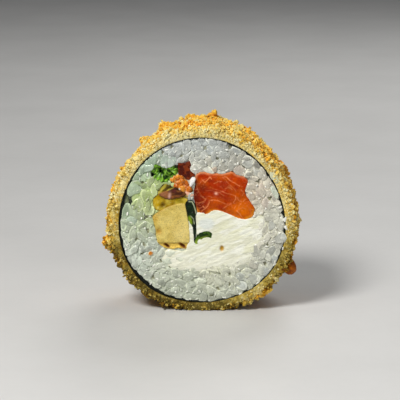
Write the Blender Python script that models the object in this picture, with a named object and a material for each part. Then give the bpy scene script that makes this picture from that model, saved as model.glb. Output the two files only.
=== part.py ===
"""A thick slice of breaded, fried sushi roll, standing on its crust with a cut face to the front.

The roll's axis runs along Y and the front cut face looks along -Y. The origin is the middle of
the small flat foot that the slice rests on. Shapes are worked out in millimetres, in the plane of
the cut with the roll's axis at (0, 0), and turned into metres where a mesh is made.
"""
import math
import random

import bmesh
import bpy
from mathutils import Matrix, Vector, geometry, noise

MM = 0.001
SEED = 11

# The slice
DEPTH = 24.0
HALF = DEPTH / 2
AXIS_HEIGHT = 28.7
GAP = 0.3
SHARP_ANGLE = 40.0
FACE_STEP = 2.1
CUTTER_PAST = 3.0

# The nori sheet: mean radius, how the hand-rolled ring departs from a circle, and its lap
NORI_RADIUS = 26.0
NORI_HARMONICS = ((1, 0.48, -97.0), (2, 0.21, 169.0), (3, 0.43, -73.0), (4, 0.17, -158.0))
NORI_THICK = 0.4
LAP_FROM = 150.0
LAP_TO = 245.0
LAP_BLEND = 45.0
LAP_APPROACH = 15.0
LAP_STEP = 0.75
NORI_STEPS = 132

# The breadcrumb crust: its thickness at some angles round the roll, and its narrowing to the back
CRUST_THICK = (
    (0, 3.2), (55, 2.6), (90, 3.1), (140, 2.1), (172, 3.3), (225, 2.5),
    (250, 2.5), (270, 3.1), (290, 2.9), (308, 3.3), (340, 3.0),
)
CRUST_LEAST = 1.0
BACK_TAPER = 1.0
CRAG = 0.8
SWELL = 0.5
CRUST_STEPS = 120
CRUST_ROWS = (-12.0, -10.9, -8.7, -6.1, -3.0, 0.0, 3.0, 6.1, 8.7, 10.9, 12.0)
EDGE_ROUND = 0.35
EDGE_REACH = 1.2
FACE_BULGE = 0.1
FACE_SWELL = 0.22
FOOT_HALF_ANGLE = 17.0
FOOT_BLEND = 6.0

# Clumps of crumbs: angle round the roll in degrees, place along Y, height and spread
CLUMPS = (
    (195.0, -9.8, 2.4, 1.9),
    (199.0, -6.0, 1.2, 1.8),
    (116.0, 8.7, 1.8, 1.7),
    (131.0, 6.1, 1.7, 1.6),
    (84.5, 8.7, 2.1, 1.5),
    (98.0, 8.7, 0.8, 1.9),
    (62.0, 6.1, 0.7, 2.0),
    (28.0, 3.0, 1.5, 1.6),
    (331.0, -8.7, 1.0, 1.8),
    (309.0, -8.7, 1.1, 1.8),
    (236.0, -8.7, 0.8, 1.6),
    (218.0, 6.1, 0.9, 1.8),
    (152.0, 3.0, 0.9, 2.0),
)
DROP_ANGLE = -29.0
DROP_RADIUS = 31.2
DROP_Y = -8.6
DROP_SIZE = (2.0, 1.9, 2.6)
DROP_TAPER = 0.28

# Corners of each filling's section, in millimetres from the roll's axis
SALMON = (
    (-1.9, 13.2), (0.6, 14.7), (5.0, 14.7), (9.2, 15.2), (13.2, 14.0), (13.7, 10.2),
    (14.9, 6.2), (16.1, 3.4), (15.2, 0.8), (12.2, 0.5), (8.6, 2.0), (4.2, 3.5),
    (1.2, 2.2), (-1.1, 3.2), (-2.3, 8.2),
)
OMELETTE = (
    (-14.6, 0.9), (-12.2, 3.0), (-9.6, 4.4), (-5.5, 4.8), (-5.0, 1.2), (-4.2, -2.4),
    (-3.9, -6.3), (-5.0, -8.7), (-8.4, -8.9), (-12.2, -8.3), (-14.0, -6.6), (-14.5, -3.0),
)
CUCUMBER = (
    (-4.7, 5.7), (-3.0, 5.6), (-1.7, 2.9), (-1.6, -1.0), (-1.4, -4.3), (-1.2, -6.6),
    (-2.2, -7.2), (-2.6, -4.6), (-2.9, -1.8), (-3.8, -0.4), (-4.5, 2.6),
)
SPRING_ONION = ((-0.8, -4.6), (0.6, -3.4), (2.2, -3.3), (3.3, -4.4), (2.6, -5.4), (1.2, -5.2), (-0.3, -6.1))
TUNA = ((-7.2, 17.7), (-3.9, 18.3), (-3.3, 15.6), (-2.3, 14.3), (-3.9, 12.8), (-5.4, 14.1), (-7.0, 14.8))
ROE = (
    (-9.2, 12.3), (-7.3, 13.9), (-5.6, 13.6), (-4.3, 11.9),
    (-2.9, 10.3), (-3.3, 9.1), (-5.2, 9.5), (-7.6, 10.6),
)
MUSHROOM = ((-12.9, 8.4), (-9.6, 9.8), (-7.4, 9.1), (-4.6, 8.5), (-7.2, 7.3), (-9.7, 6.9), (-11.6, 7.5))
RADISH = (
    (-13.6, 9.9), (-11.8, 11.3), (-10.0, 10.9), (-10.6, 10.2), (-12.6, 9.5), (-13.4, 8.5),
    (-12.2, 7.1), (-9.8, 6.4), (-7.2, 6.8), (-5.2, 7.6), (-5.1, 5.9), (-7.4, 5.2),
    (-10.4, 4.8), (-12.8, 3.8), (-14.6, 4.4), (-14.8, 7.2),
)
LETTUCE = (
    (-16.3, 13.5), (-15.0, 15.6), (-13.2, 16.5), (-10.0, 16.3), (-7.7, 16.9),
    (-7.5, 15.4), (-9.2, 13.6), (-11.2, 12.2), (-13.4, 12.5),
)
CHEESE = (
    (-4.6, -1.0), (-1.6, 2.2), (1.2, 1.6), (4.2, 3.0), (8.6, 1.6), (12.4, 0.2),
    (16.6, 0.4), (18.3, -1.6), (16.9, -5.0), (15.2, -7.6), (14.4, -10.6), (10.8, -12.2),
    (5.0, -13.3), (-1.8, -14.2), (-8.0, -13.6), (-10.8, -12.0), (-10.4, -9.6), (-4.4, -9.8),
)

# The folded lettuce leaf
LEAF_THICK = 0.42
LEAF_FOLDS = 5.5
LEAF_DRIFT = 0.55
LEAF_CLEAR = 0.45
LEAF_STEPS = 84

# Rice grains: how far the core lies under the cut faces, and each grain's middle
CORE_SUNK = 1.1
GRAIN_LENGTH = 5.6
GRAIN_WIDTH = 2.9
GRAIN_HIGH = 2.5
GRAIN_SUNK = 1.25
GRAIN_SHOULDER = 0.62
GRAIN_FAT = 0.94
GRAIN_SIDES = 6
GRAIN_SPACING = 2.75
GRAIN_TRIES = 2600
GRAIN_TURNS = 6
GRAIN_CLEAR = 0.12

# Flying fish roe: eggs over a core, and one egg that lies in the rice
EGG_SIZE = 1.25
EGG_SPACING = 1.02
EGG_SUNK = 0.45
EGG_TRIES = 600
ROE_CORE_SUNK = 0.5
ROE_CORE_INSET = 0.25
STRAY_EGG = (-15.8, -10.3)
STRAY_EGG_DEEP = 3.0


def material(name, colour, roughness):
    """A plain food surface of one colour."""
    made = bpy.data.materials.new(name)
    made.use_nodes = True
    shader = made.node_tree.nodes["Principled BSDF"]
    shader.inputs["Base Color"].default_value = (*colour, 1.0)
    shader.inputs["Roughness"].default_value = roughness
    shader.inputs["Metallic"].default_value = 0.0
    return made


def add_object(name, mesh, finish):
    obj = bpy.data.objects.new(name, mesh)
    bpy.context.scene.collection.objects.link(obj)
    mesh.materials.clear()
    if finish:
        mesh.materials.append(finish)
    return obj


def from_bmesh(name, bm, finish, smooth=True):
    """Turns millimetres round the roll's axis into metres over the foot, and makes the object."""
    bmesh.ops.recalc_face_normals(bm, faces=bm.faces)
    bmesh.ops.transform(bm, matrix=Matrix.Translation((0, 0, AXIS_HEIGHT)), verts=bm.verts)
    bmesh.ops.scale(bm, vec=(MM, MM, MM), verts=bm.verts)
    mesh = bpy.data.meshes.new(name)
    bm.to_mesh(mesh)
    bm.free()
    if smooth:
        mesh.shade_smooth()
        mesh.set_sharp_from_angle(angle=math.radians(SHARP_ANGLE))
    return add_object(name, mesh, finish)


def polar(radius, degrees):
    angle = math.radians(degrees)
    return Vector((radius * math.cos(angle), radius * math.sin(angle)))


def smoothstep(value):
    value = min(1.0, max(0.0, value))
    return value * value * (3 - 2 * value)


def nori_outer(degrees):
    """Radius of the nori ring's outer side."""
    return NORI_RADIUS + sum(
        size * math.cos(math.radians(order * degrees - phase)) for order, size, phase in NORI_HARMONICS
    )


def lap_inset(degrees):
    """How far the sheet's inner end lies inside the ring, at an angle counted from LAP_FROM on."""
    return LAP_STEP * (1 - smoothstep((degrees - LAP_TO) / LAP_BLEND))


def rice_radius(degrees):
    """Radius that the rice fills, just inside the nori."""
    past = (degrees - LAP_FROM) % 360
    before_lap = smoothstep((past - 360 + LAP_APPROACH) / LAP_APPROACH)
    inset = max(lap_inset(LAP_FROM + past), LAP_STEP * before_lap)
    return nori_outer(degrees) - NORI_THICK - GAP - inset


def closed_curve(corners, per_span=3, offset=0.0):
    """A smooth counter-clockwise loop through the corners, moved out by offset."""
    points = [Vector(c) for c in corners]
    count = len(points)
    loop = []
    for i in range(count):
        a, b, c, d = (points[(i + k) % count] for k in (-1, 0, 1, 2))
        for step in range(per_span):
            t = step / per_span
            square, cube = 2 * a - 5 * b + 4 * c - d, 3 * b - a - 3 * c + d
            loop.append(0.5 * (2 * b + (c - a) * t + square * t ** 2 + cube * t ** 3))
    if signed_area(loop) < 0:
        loop.reverse()
    return moved_out(loop, offset) if offset else loop


def signed_area(loop):
    return 0.5 * sum(a.x * b.y - b.x * a.y for a, b in zip(loop, loop[1:] + loop[:1]))


def moved_out(loop, offset):
    """The counter-clockwise loop with each point moved along its outward normal."""
    count = len(loop)
    moved = []
    for i, point in enumerate(loop):
        along = loop[(i + 1) % count] - loop[i - 1]
        moved.append(point + Vector((along.y, -along.x)).normalized() * offset)
    return moved


def inside(loop, x, z):
    """Whether the point lies within the loop, by the even-odd rule."""
    found = False
    for a, b in zip(loop, loop[1:] + loop[:1]):
        if (a.y > z) != (b.y > z) and x < (b.x - a.x) * (z - a.y) / (b.y - a.y) + a.x:
            found = not found
    return found


def fill_points(loop, step):
    """Points in staggered rows inside the loop, clear of its edge."""
    inner = moved_out(loop, -0.45 * step)
    row_step = step * math.sqrt(3) / 2
    low_x, high_x = min(p.x for p in loop), max(p.x for p in loop)
    low_z, high_z = min(p.y for p in loop), max(p.y for p in loop)
    points = []
    for row in range(int((high_z - low_z) / row_step) + 1):
        z = low_z + row_step * (row + 0.5)
        for column in range(int((high_x - low_x) / step) + 1):
            x = low_x + step * (column + 0.5 * (row % 2))
            if inside(inner, x, z) and inside(loop, x, z):
                points.append(Vector((x, z)))
    return points


def flat_relief(x, z, side):
    return 0.0


def prism(name, loop, finish, relief=flat_relief, reach=HALF, step=FACE_STEP):
    """A solid with the loop as its section, from cut face to cut face. relief raises each face."""
    points = list(loop) + (fill_points(loop, step) if step else [])
    edges = [(i, (i + 1) % len(loop)) for i in range(len(loop))]
    _, _, triangles, originals, _, _ = geometry.delaunay_2d_cdt(points, edges, [], 1, 1e-6)
    index = {made: old[0] for made, old in enumerate(originals) if old}
    bm = bmesh.new()
    layers = []
    for side in (-1, 1):
        layers.append(
            [bm.verts.new((p.x, side * (reach + relief(p.x, p.y, side)), p.y)) for p in points]
        )
    for triangle in triangles:
        corners = [index[i] for i in triangle]
        bm.faces.new([layers[0][i] for i in corners])
        bm.faces.new([layers[1][i] for i in reversed(corners)])
    for a, b in edges:
        bm.faces.new((layers[0][b], layers[0][a], layers[1][a], layers[1][b]))
    return from_bmesh(name, bm, finish)


def cutter(name, loop):
    """The room that a filling takes, as a hidden solid longer than the slice."""
    obj = prism(name, loop, None, reach=HALF + CUTTER_PAST, step=None)
    obj.hide_render = True
    obj.display_type = "WIRE"
    return obj


def boolean(obj, operation, others):
    """Joins or cuts obj with the others in one Boolean, applies it and drops the others' copies."""
    group = bpy.data.collections.new(f"{obj.name}_{operation.lower()}")
    bpy.context.scene.collection.children.link(group)
    for other in others:
        group.objects.link(other)
    modifier = obj.modifiers.new(operation.title(), "BOOLEAN")
    modifier.operation = operation
    modifier.operand_type = "COLLECTION"
    modifier.collection = group
    modifier.solver = "EXACT"
    bpy.context.view_layer.update()
    graph = bpy.context.evaluated_depsgraph_get()
    mesh = bpy.data.meshes.new_from_object(obj.evaluated_get(graph))
    obj.modifiers.clear()
    obj.data = mesh
    for other in others:
        group.objects.unlink(other)
    bpy.data.collections.remove(group)
    keep_largest(obj)


def keep_largest(obj):
    """Drops loose scraps, so that the object is one body."""
    bm = bmesh.new()
    bm.from_mesh(obj.data)
    left = set(bm.verts)
    groups = []
    while left:
        stack = [left.pop()]
        group = set(stack)
        while stack:
            for edge in stack.pop().link_edges:
                for vert in edge.verts:
                    if vert in left:
                        left.discard(vert)
                        group.add(vert)
                        stack.append(vert)
        groups.append(group)
    groups.sort(key=len)
    for group in groups[:-1]:
        bmesh.ops.delete(bm, geom=list(group), context="VERTS")
    bm.to_mesh(obj.data)
    bm.free()


def remove(objects):
    for obj in objects:
        bpy.data.objects.remove(obj)


# Relief of the cut faces, in millimetres out of the face

def salmon_relief(x, z, side):
    """A soft crown with the ridges of the muscle layers running down to the right."""
    across = x * math.sin(math.radians(28)) + z * math.cos(math.radians(28))
    layers = math.sin(across * 1.9 + 0.8 * math.sin(0.35 * x + side))
    return 0.25 + 0.16 * layers + 0.12 * noise.noise((0.5 * x, 0.5 * z, side))


def cheese_relief(x, z, side):
    """Drag marks of the knife, running up to the right."""
    across = z * math.cos(math.radians(20)) - x * math.sin(math.radians(20))
    drag = math.sin(across * 1.7) * noise.noise((0.12 * x, 0.3 * z, side))
    return 0.1 + 0.14 * drag + 0.1 * math.sin(0.3 * x)


def omelette_relief(x, z, side):
    """Flat, with the folded bottom layer set back a little."""
    folded = smoothstep((-6.6 - z) / 0.8)
    return 0.12 - 0.45 * folded + 0.08 * noise.noise((0.6 * x, 0.6 * z, side))


def soft_relief(x, z, side):
    return 0.15 + 0.25 * noise.noise((0.55 * x, 0.55 * z, 3.0 * side))


def crust_thickness(degrees):
    """The even thickness of the crust, eased between the angles where it is given."""
    for i, (angle, thick) in enumerate(CRUST_THICK):
        next_angle, next_thick = CRUST_THICK[(i + 1) % len(CRUST_THICK)]
        span = (next_angle - angle) % 360
        past = (degrees - angle) % 360
        if past < span:
            return thick + (next_thick - thick) * smoothstep(past / span)
    return CRUST_THICK[0][1]


def crust_height(degrees, y):
    """Thickness of the crust over the nori, without its crags."""
    upper = smoothstep(0.5 + math.sin(math.radians(degrees)))
    base = crust_thickness(degrees) - BACK_TAPER * upper * smoothstep((y + 4) / (HALF + 4))
    clumps = 0.0
    for angle, place, high, spread in CLUMPS:
        around = math.radians((degrees - angle + 180) % 360 - 180) * NORI_RADIUS
        clumps += high * math.exp(-(around ** 2 + (y - place) ** 2) / (spread ** 2))
    return base + clumps


def crust_radius(degrees, y):
    """The crust's craggy outer side. It runs smooth over the foot."""
    from_foot = abs((degrees - 270 + 180) % 360 - 180)
    rough = smoothstep((from_foot - FOOT_HALF_ANGLE) / FOOT_BLEND)
    at = polar(NORI_RADIUS, degrees)
    fine = noise.noise((0.75 * at.x, 0.75 * at.y, 0.75 * y))
    coarse = noise.noise((0.22 * at.x + 7, 0.22 * at.y, 0.22 * y))
    thick = crust_height(degrees, y) + rough * (CRAG * fine + SWELL * coarse)
    return nori_outer(degrees) + max(CRUST_LEAST, thick)


def crust_profile(degrees):
    """One section of the crust, as (radius, y) points round a closed loop."""
    inner = nori_outer(degrees) + GAP
    rows = []
    for y in CRUST_ROWS:
        near_face = smoothstep((abs(y) - HALF + EDGE_REACH) / EDGE_REACH)
        rows.append((crust_radius(degrees, y) - EDGE_ROUND * near_face, y))
    front, back = rows[0][0], rows[-1][0]
    at = polar(3.0, degrees * 3)
    bulge = FACE_BULGE + FACE_SWELL * noise.noise((at.x, at.y, degrees * 0.09))
    profile = [(inner, -HALF), ((inner + front) / 2, -HALF - bulge)]
    profile += rows
    profile += [((inner + back) / 2, HALF + bulge), (inner, HALF)]
    return profile


def make_crust():
    """The crumb coat: a craggy ring, cut flat at the foot, with one drop of batter on its side."""
    finish = material("fried_crust", (0.80, 0.52, 0.16), 0.75)
    bm = bmesh.new()
    rings = []
    for step in range(CRUST_STEPS):
        degrees = 360 * step / CRUST_STEPS
        ring = []
        for radius, y in crust_profile(degrees):
            place = polar(radius, degrees)
            ring.append(bm.verts.new((place.x, y, place.y)))
        rings.append(ring)
    sides = len(rings[0])
    for i, ring in enumerate(rings):
        following = rings[(i + 1) % len(rings)]
        for k in range(sides):
            after = (k + 1) % sides
            bm.faces.new((ring[k], ring[after], following[after], following[k]))
    bmesh.ops.triangulate(bm, faces=bm.faces)
    flatten_foot(bm)
    crust = from_bmesh("crust", bm, finish)
    drop = make_drop(finish)
    boolean(crust, "UNION", [drop])
    remove([drop])
    return crust


def flatten_foot(bm):
    """Cuts the ring off at the floor and closes the cut with one flat face."""
    everything = bm.verts[:] + bm.edges[:] + bm.faces[:]
    cut = bmesh.ops.bisect_plane(
        bm, geom=everything, plane_co=(0, 0, -AXIS_HEIGHT), plane_no=(0, 0, -1), clear_outer=True
    )
    rim = [item for item in cut["geom_cut"] if isinstance(item, bmesh.types.BMEdge)]
    bmesh.ops.triangle_fill(bm, edges=rim, use_beauty=True, use_dissolve=False)


def make_drop(finish):
    """A hanging drop of browned batter, wider below."""
    bm = bmesh.new()
    bmesh.ops.create_icosphere(bm, subdivisions=2, radius=1.0)
    centre = polar(DROP_RADIUS, DROP_ANGLE)
    for vert in bm.verts:
        taper = 1.0 - DROP_TAPER * vert.co.z
        vert.co = Vector((
            centre.x + vert.co.x * DROP_SIZE[0] * taper,
            DROP_Y + vert.co.y * DROP_SIZE[1] * taper,
            centre.y + vert.co.z * DROP_SIZE[2],
        ))
    return from_bmesh("batter_drop", bm, finish)


def make_nori():
    """One seaweed sheet rolled round the rice, with its inner end lapped inside the ring."""
    bm = bmesh.new()
    turn = LAP_TO + 360 - LAP_FROM
    rings = []
    for step in range(NORI_STEPS + 1):
        degrees = LAP_FROM + turn * step / NORI_STEPS
        outer = nori_outer(degrees) - lap_inset(degrees)
        ring = []
        inner = outer - NORI_THICK
        for radius, y in ((outer, -HALF), (outer, HALF), (inner, HALF), (inner, -HALF)):
            place = polar(radius, degrees)
            ring.append(bm.verts.new((place.x, y, place.y)))
        rings.append(ring)
    for ring, following in zip(rings, rings[1:]):
        for k in range(4):
            after = (k + 1) % 4
            bm.faces.new((ring[k], ring[after], following[after], following[k]))
    bm.faces.new(rings[0])
    bm.faces.new(reversed(rings[-1]))
    return from_bmesh("nori", bm, material("nori", (0.012, 0.02, 0.014), 0.5))


def make_lettuce():
    """One thin leaf, folded to and fro within the section that it fills."""
    finish = material("lettuce", (0.10, 0.30, 0.03), 0.45)
    loop = closed_curve(LETTUCE)
    low_x, high_x = min(p.x for p in loop) + LEAF_CLEAR * 1.5, max(p.x for p in loop) - LEAF_CLEAR * 1.3
    low_z, high_z = min(p.y for p in loop), max(p.y for p in loop)
    levels = [low_z + (high_z - low_z) * k / 100 for k in range(101)]
    line = []
    for step in range(LEAF_STEPS + 1):
        share = step / LEAF_STEPS
        x = low_x + (high_x - low_x) * share
        heights = [z for z in levels if inside(loop, x, z)]
        middle, half = (heights[0] + heights[-1]) / 2, (heights[-1] - heights[0]) / 2 - LEAF_CLEAR
        wave = math.sin(2 * math.pi * LEAF_FOLDS * share + LEAF_DRIFT * math.sin(9 * share))
        deep = 1 - 0.3 * math.sin(17 * share) ** 2
        line.append(Vector((x, middle + max(half, 0.1) * wave * deep)))
    bm = bmesh.new()
    sections = []
    for i, point in enumerate(line):
        along = line[min(i + 1, len(line) - 1)] - line[max(i - 1, 0)]
        across = Vector((-along.y, along.x)).normalized() * (LEAF_THICK / 2)
        corners = (point + across, point - across)
        section = [bm.verts.new((c.x, y, c.y)) for y in (-HALF, 0.0, HALF) for c in corners]
        sections.append(section)
    for a, b in zip(sections, sections[1:]):
        for low, high in ((0, 2), (2, 4)):
            bm.faces.new((a[low], b[low], b[high], a[high]))
            bm.faces.new((a[low + 1], a[high + 1], b[high + 1], b[low + 1]))
        bm.faces.new((a[0], a[1], b[1], b[0]))
        bm.faces.new((a[4], b[4], b[5], a[5]))
    for section, flip in ((sections[0], False), (sections[-1], True)):
        for low in (0, 2):
            corners = (section[low], section[low + 2], section[low + 3], section[low + 1])
            bm.faces.new(reversed(corners) if flip else corners)
    return from_bmesh("lettuce", bm, finish)


def grain(name, place, turn, tilt, finish, sizes):
    """One grain of rice, of the given length, width and height: a six-sided bar with pointed ends."""
    length, width, high = (size / 2 for size in sizes)
    bm = bmesh.new()
    rings = []
    for share in (-GRAIN_SHOULDER, GRAIN_SHOULDER):
        ring = []
        for k in range(GRAIN_SIDES):
            angle = 2 * math.pi * (k + 0.25) / GRAIN_SIDES
            ring.append(bm.verts.new((
                share * length, GRAIN_FAT * high * math.sin(angle), GRAIN_FAT * width * math.cos(angle)
            )))
        rings.append(ring)
    tips = [bm.verts.new((share * length, 0, 0)) for share in (-1, 1)]
    for k in range(GRAIN_SIDES):
        after = (k + 1) % GRAIN_SIDES
        bm.faces.new((rings[0][k], rings[0][after], rings[1][after], rings[1][k]))
        bm.faces.new((tips[0], rings[0][after], rings[0][k]))
        bm.faces.new((tips[1], rings[1][k], rings[1][after]))
    turned = Matrix.Rotation(turn, 4, "Y") @ Matrix.Rotation(tilt, 4, "Z")
    bmesh.ops.transform(bm, matrix=Matrix.Translation(place) @ turned, verts=bm.verts)
    return from_bmesh(name, bm, finish, smooth=False)


def clear_of(loops, x, z):
    """Whether a point keeps clear of the nori and lies in none of the loops."""
    degrees = math.degrees(math.atan2(z, x))
    if math.hypot(x, z) > rice_radius(degrees) - GRAIN_CLEAR:
        return False
    return not any(inside(loop, x, z) for loop in loops)


def grain_fits(loops, x, z, turn, scale):
    """Whether a grain lying at this turn keeps off the fillings and the nori."""
    reach_x = GRAIN_LENGTH / 2 * scale
    reach_z = GRAIN_WIDTH / 2 * scale
    for k in range(12):
        angle = 2 * math.pi * k / 12
        along, across = reach_x * math.cos(angle), reach_z * math.sin(angle)
        at_x = x + along * math.cos(turn) + across * math.sin(turn)
        at_z = z - along * math.sin(turn) + across * math.cos(turn)
        if not clear_of(loops, at_x, at_z):
            return False
    return True


def scatter_grains(loops, side, finish):
    """Grains over one cut face, spread evenly by dart throwing, each turned until it fits."""
    draw = random.Random(SEED + side)
    placed = []
    grains = []
    for _ in range(GRAIN_TRIES):
        x, z = draw.uniform(-NORI_RADIUS, NORI_RADIUS), draw.uniform(-NORI_RADIUS, NORI_RADIUS)
        scale = draw.uniform(0.82, 1.08)
        depth = HALF - GRAIN_SUNK + draw.uniform(-0.25, 0.2)
        if any((x - p) ** 2 + (z - q) ** 2 < GRAIN_SPACING ** 2 for p, q in placed):
            continue
        start = draw.uniform(0, math.pi)
        for k in range(GRAIN_TURNS):
            turn = start + k * math.pi / GRAIN_TURNS
            if not grain_fits(loops, x, z, turn, scale):
                continue
            sizes = (GRAIN_LENGTH * scale, GRAIN_WIDTH * scale, GRAIN_HIGH * scale)
            tilt = draw.uniform(-0.16, 0.16)
            name = f"grain_{len(grains)}_{side}"
            grains.append(grain(name, (x, side * depth, z), turn, tilt, finish, sizes))
            placed.append((x, z))
            break
    return grains


def make_rice(cutters, spaces):
    """The rice ring: a core cut round the fillings, with whole grains fused on at both faces."""
    finish = material("rice", (0.78, 0.79, 0.74), 0.45)
    outline = [polar(rice_radius(d), d) for d in range(0, 360, 5)]
    core = prism("rice", outline, finish, reach=HALF - CORE_SUNK, step=None)
    boolean(core, "DIFFERENCE", cutters)
    grains = [g for side in (-1, 1) for g in scatter_grains(spaces, side, finish)]
    stray = (STRAY_EGG[0], EGG_SIZE / 6 - HALF, STRAY_EGG[1])
    grains.append(grain("stray_egg", stray, 0.0, 0.0, finish, (EGG_SIZE, EGG_SIZE, STRAY_EGG_DEEP)))
    boolean(core, "UNION", grains)
    remove(grains)
    return core


def make_egg(name, place, finish):
    bm = bmesh.new()
    bmesh.ops.create_icosphere(bm, subdivisions=1, radius=EGG_SIZE / 2)
    bmesh.ops.translate(bm, vec=place, verts=bm.verts)
    return from_bmesh(name, bm, finish)


def make_roe(others):
    """A cluster of flying fish roe: a core with eggs fused on at both faces."""
    finish = material("roe", (0.75, 0.25, 0.05), 0.25)
    loop = closed_curve(ROE)
    core = prism("roe", moved_out(loop, -ROE_CORE_INSET), finish, reach=HALF - ROE_CORE_SUNK, step=None)
    boolean(core, "DIFFERENCE", others)
    room = moved_out(loop, -EGG_SIZE / 2)
    low_x, high_x = min(p.x for p in room), max(p.x for p in room)
    low_z, high_z = min(p.y for p in room), max(p.y for p in room)
    eggs = []
    for side in (-1, 1):
        draw = random.Random(SEED + 5 + side)
        placed = []
        for _ in range(EGG_TRIES):
            x, z = draw.uniform(low_x, high_x), draw.uniform(low_z, high_z)
            if not inside(room, x, z):
                continue
            if any((x - p) ** 2 + (z - q) ** 2 < EGG_SPACING ** 2 for p, q in placed):
                continue
            placed.append((x, z))
            depth = HALF - EGG_SUNK + draw.uniform(-0.1, 0.15)
            eggs.append(make_egg(f"egg_{len(eggs)}", (x, side * depth, z), finish))
    boolean(core, "UNION", eggs)
    remove(eggs)
    return core


# Section, colour, roughness and relief of the block-like fillings. Each gives way to those above it
BLOCKS = (
    ("salmon", SALMON, (0.62, 0.10, 0.012), 0.3, salmon_relief),
    ("omelette", OMELETTE, (0.72, 0.50, 0.10), 0.6, omelette_relief),
    ("cucumber", CUCUMBER, (0.02, 0.06, 0.015), 0.4, soft_relief),
    ("spring_onion", SPRING_ONION, (0.03, 0.09, 0.01), 0.4, soft_relief),
    ("tuna", TUNA, (0.25, 0.03, 0.012), 0.35, soft_relief),
    ("mushroom", MUSHROOM, (0.16, 0.07, 0.04), 0.45, soft_relief),
    ("pickled_radish", RADISH, (0.52, 0.36, 0.02), 0.4, soft_relief),
    ("cream_cheese", CHEESE, (0.82, 0.81, 0.72), 0.5, cheese_relief),
)


def make_fillings():
    """Every filling in turn, each cut back from those before it. Returns the cutters and the loops."""
    cutters, spaces = [], []

    def reserve(name, corners):
        loop = closed_curve(corners, offset=GAP)
        spaces.append(loop)
        cutters.append(cutter(f"{name}_room", loop))

    for name, corners, colour, roughness, relief in BLOCKS[:-1]:
        obj = prism(name, closed_curve(corners), material(name, colour, roughness), relief)
        if cutters:
            boolean(obj, "DIFFERENCE", cutters)
        reserve(name, corners)
    make_roe(cutters)
    reserve("roe", ROE)
    make_lettuce()
    reserve("lettuce", LETTUCE)
    name, corners, colour, roughness, relief = BLOCKS[-1]
    cheese = prism(name, closed_curve(corners), material(name, colour, roughness), relief)
    boolean(cheese, "DIFFERENCE", cutters)
    reserve(name, corners)
    return cutters, spaces


def main():
    for obj in list(bpy.data.objects):
        bpy.data.objects.remove(obj)
    make_crust()
    make_nori()
    cutters, spaces = make_fillings()
    make_rice(cutters, spaces)
    remove(cutters)


main()
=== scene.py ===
"""The fried sushi roll as it looks: crumbs, nori, grains and fillings over the frame's solids.

Shapes are in millimetres from the roll's axis, x to the right, y to the back and z up, until a
mesh is made. Side is -1 at the front cut face and 1 at the back.
"""
import math

import bmesh
import bpy
import numpy as np
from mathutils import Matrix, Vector, geometry, kdtree, noise


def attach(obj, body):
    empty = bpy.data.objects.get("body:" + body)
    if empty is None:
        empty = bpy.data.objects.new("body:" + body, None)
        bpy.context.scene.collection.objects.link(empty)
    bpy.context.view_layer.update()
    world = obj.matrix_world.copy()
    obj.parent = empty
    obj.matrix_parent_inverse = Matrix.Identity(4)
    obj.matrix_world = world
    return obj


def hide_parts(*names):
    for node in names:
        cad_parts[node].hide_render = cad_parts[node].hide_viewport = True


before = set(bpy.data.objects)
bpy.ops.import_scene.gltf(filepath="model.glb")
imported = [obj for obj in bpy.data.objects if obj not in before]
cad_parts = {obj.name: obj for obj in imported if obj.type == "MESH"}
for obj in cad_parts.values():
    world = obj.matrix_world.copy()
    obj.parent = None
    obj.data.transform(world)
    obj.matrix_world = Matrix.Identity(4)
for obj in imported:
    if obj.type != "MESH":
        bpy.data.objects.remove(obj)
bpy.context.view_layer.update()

MM = 0.001
SEED = 23
# Half the slice's depth, and the height of the roll's axis over its foot
HALF = 12.0
AXIS_HEIGHT = 28.7
SIDES = (-1, 1)
# The finest step along an outline
PROBE = 0.1
# The solids are cut here for their outlines, just off their middle, where the plane meets no corner
SECTION_AT = 0.137

# The nori ring and the crust round it, as the solids have them. The ring's waves: how many go round,
# how high and at which angle
NORI_RADIUS = 26.0
NORI_HARMONICS = ((1, 0.48, -97.0), (2, 0.21, 169.0), (3, 0.43, -73.0), (4, 0.17, -158.0))
# The sheet's lap: its angles, how softly the inner layer steps in, and how far
LAP_FROM = 150.0
LAP_TO = 245.0
LAP_BLEND = 45.0
LAP_STEP = 0.34
LAP_APPROACH = 15.0
# Where the sheet looks thicker: angle, spread, how much
NORI_CREASES = (
    (240, 9, 0.5), (222, 9, 0.2), (168, 9, 0.12), (55, 20, 0.24), (18, 5, 0.3), (6.3, 1.4, 0.5),
    (-6.8, 1.6, 0.6), (36.8, 1.2, 0.35),
)
NORI_SHEET = 0.28
NORI_STEPS = 1500
# The crust's thickness by angle, and by angle how dry and lit it is: lower down it is painted darker, partly
# browned in oil, partly painted shade
CRUST_THICK = (
    (0, 3.2), (55, 2.6), (90, 3.1), (140, 2.1), (172, 3.3), (225, 2.5),
    (250, 2.5), (270, 3.1), (290, 2.9), (308, 3.3), (340, 3.0), (360, 3.2),
)
DRYNESS = (
    (0, 0.8), (16, 1.04), (146, 1.0), (172, 0.72), (190, 0.58), (202, 0.12), (235, 0.0),
    (262, 0.0), (285, 0.1), (306, 0.7), (322, 0.35), (342, 0.32), (360, 0.8),
)
# The least of that dryness and light away from the cut faces
DRY_OUTSIDE = 0.62
CRUST_LEAST = 1.0
# How much thinner the crust's top is at the back, how high its fine and its coarse relief are, and
# how far and from where it rounds off towards the cut faces
BACK_TAPER = 1.0
CRAG = 0.8
SWELL = 0.5
EDGE_ROUND = 0.35
EDGE_REACH = 1.2
# The foot, pressed flat, to each side of straight down
FOOT_HALF_ANGLE = 17.0
FOOT_BLEND = 6.0
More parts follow.
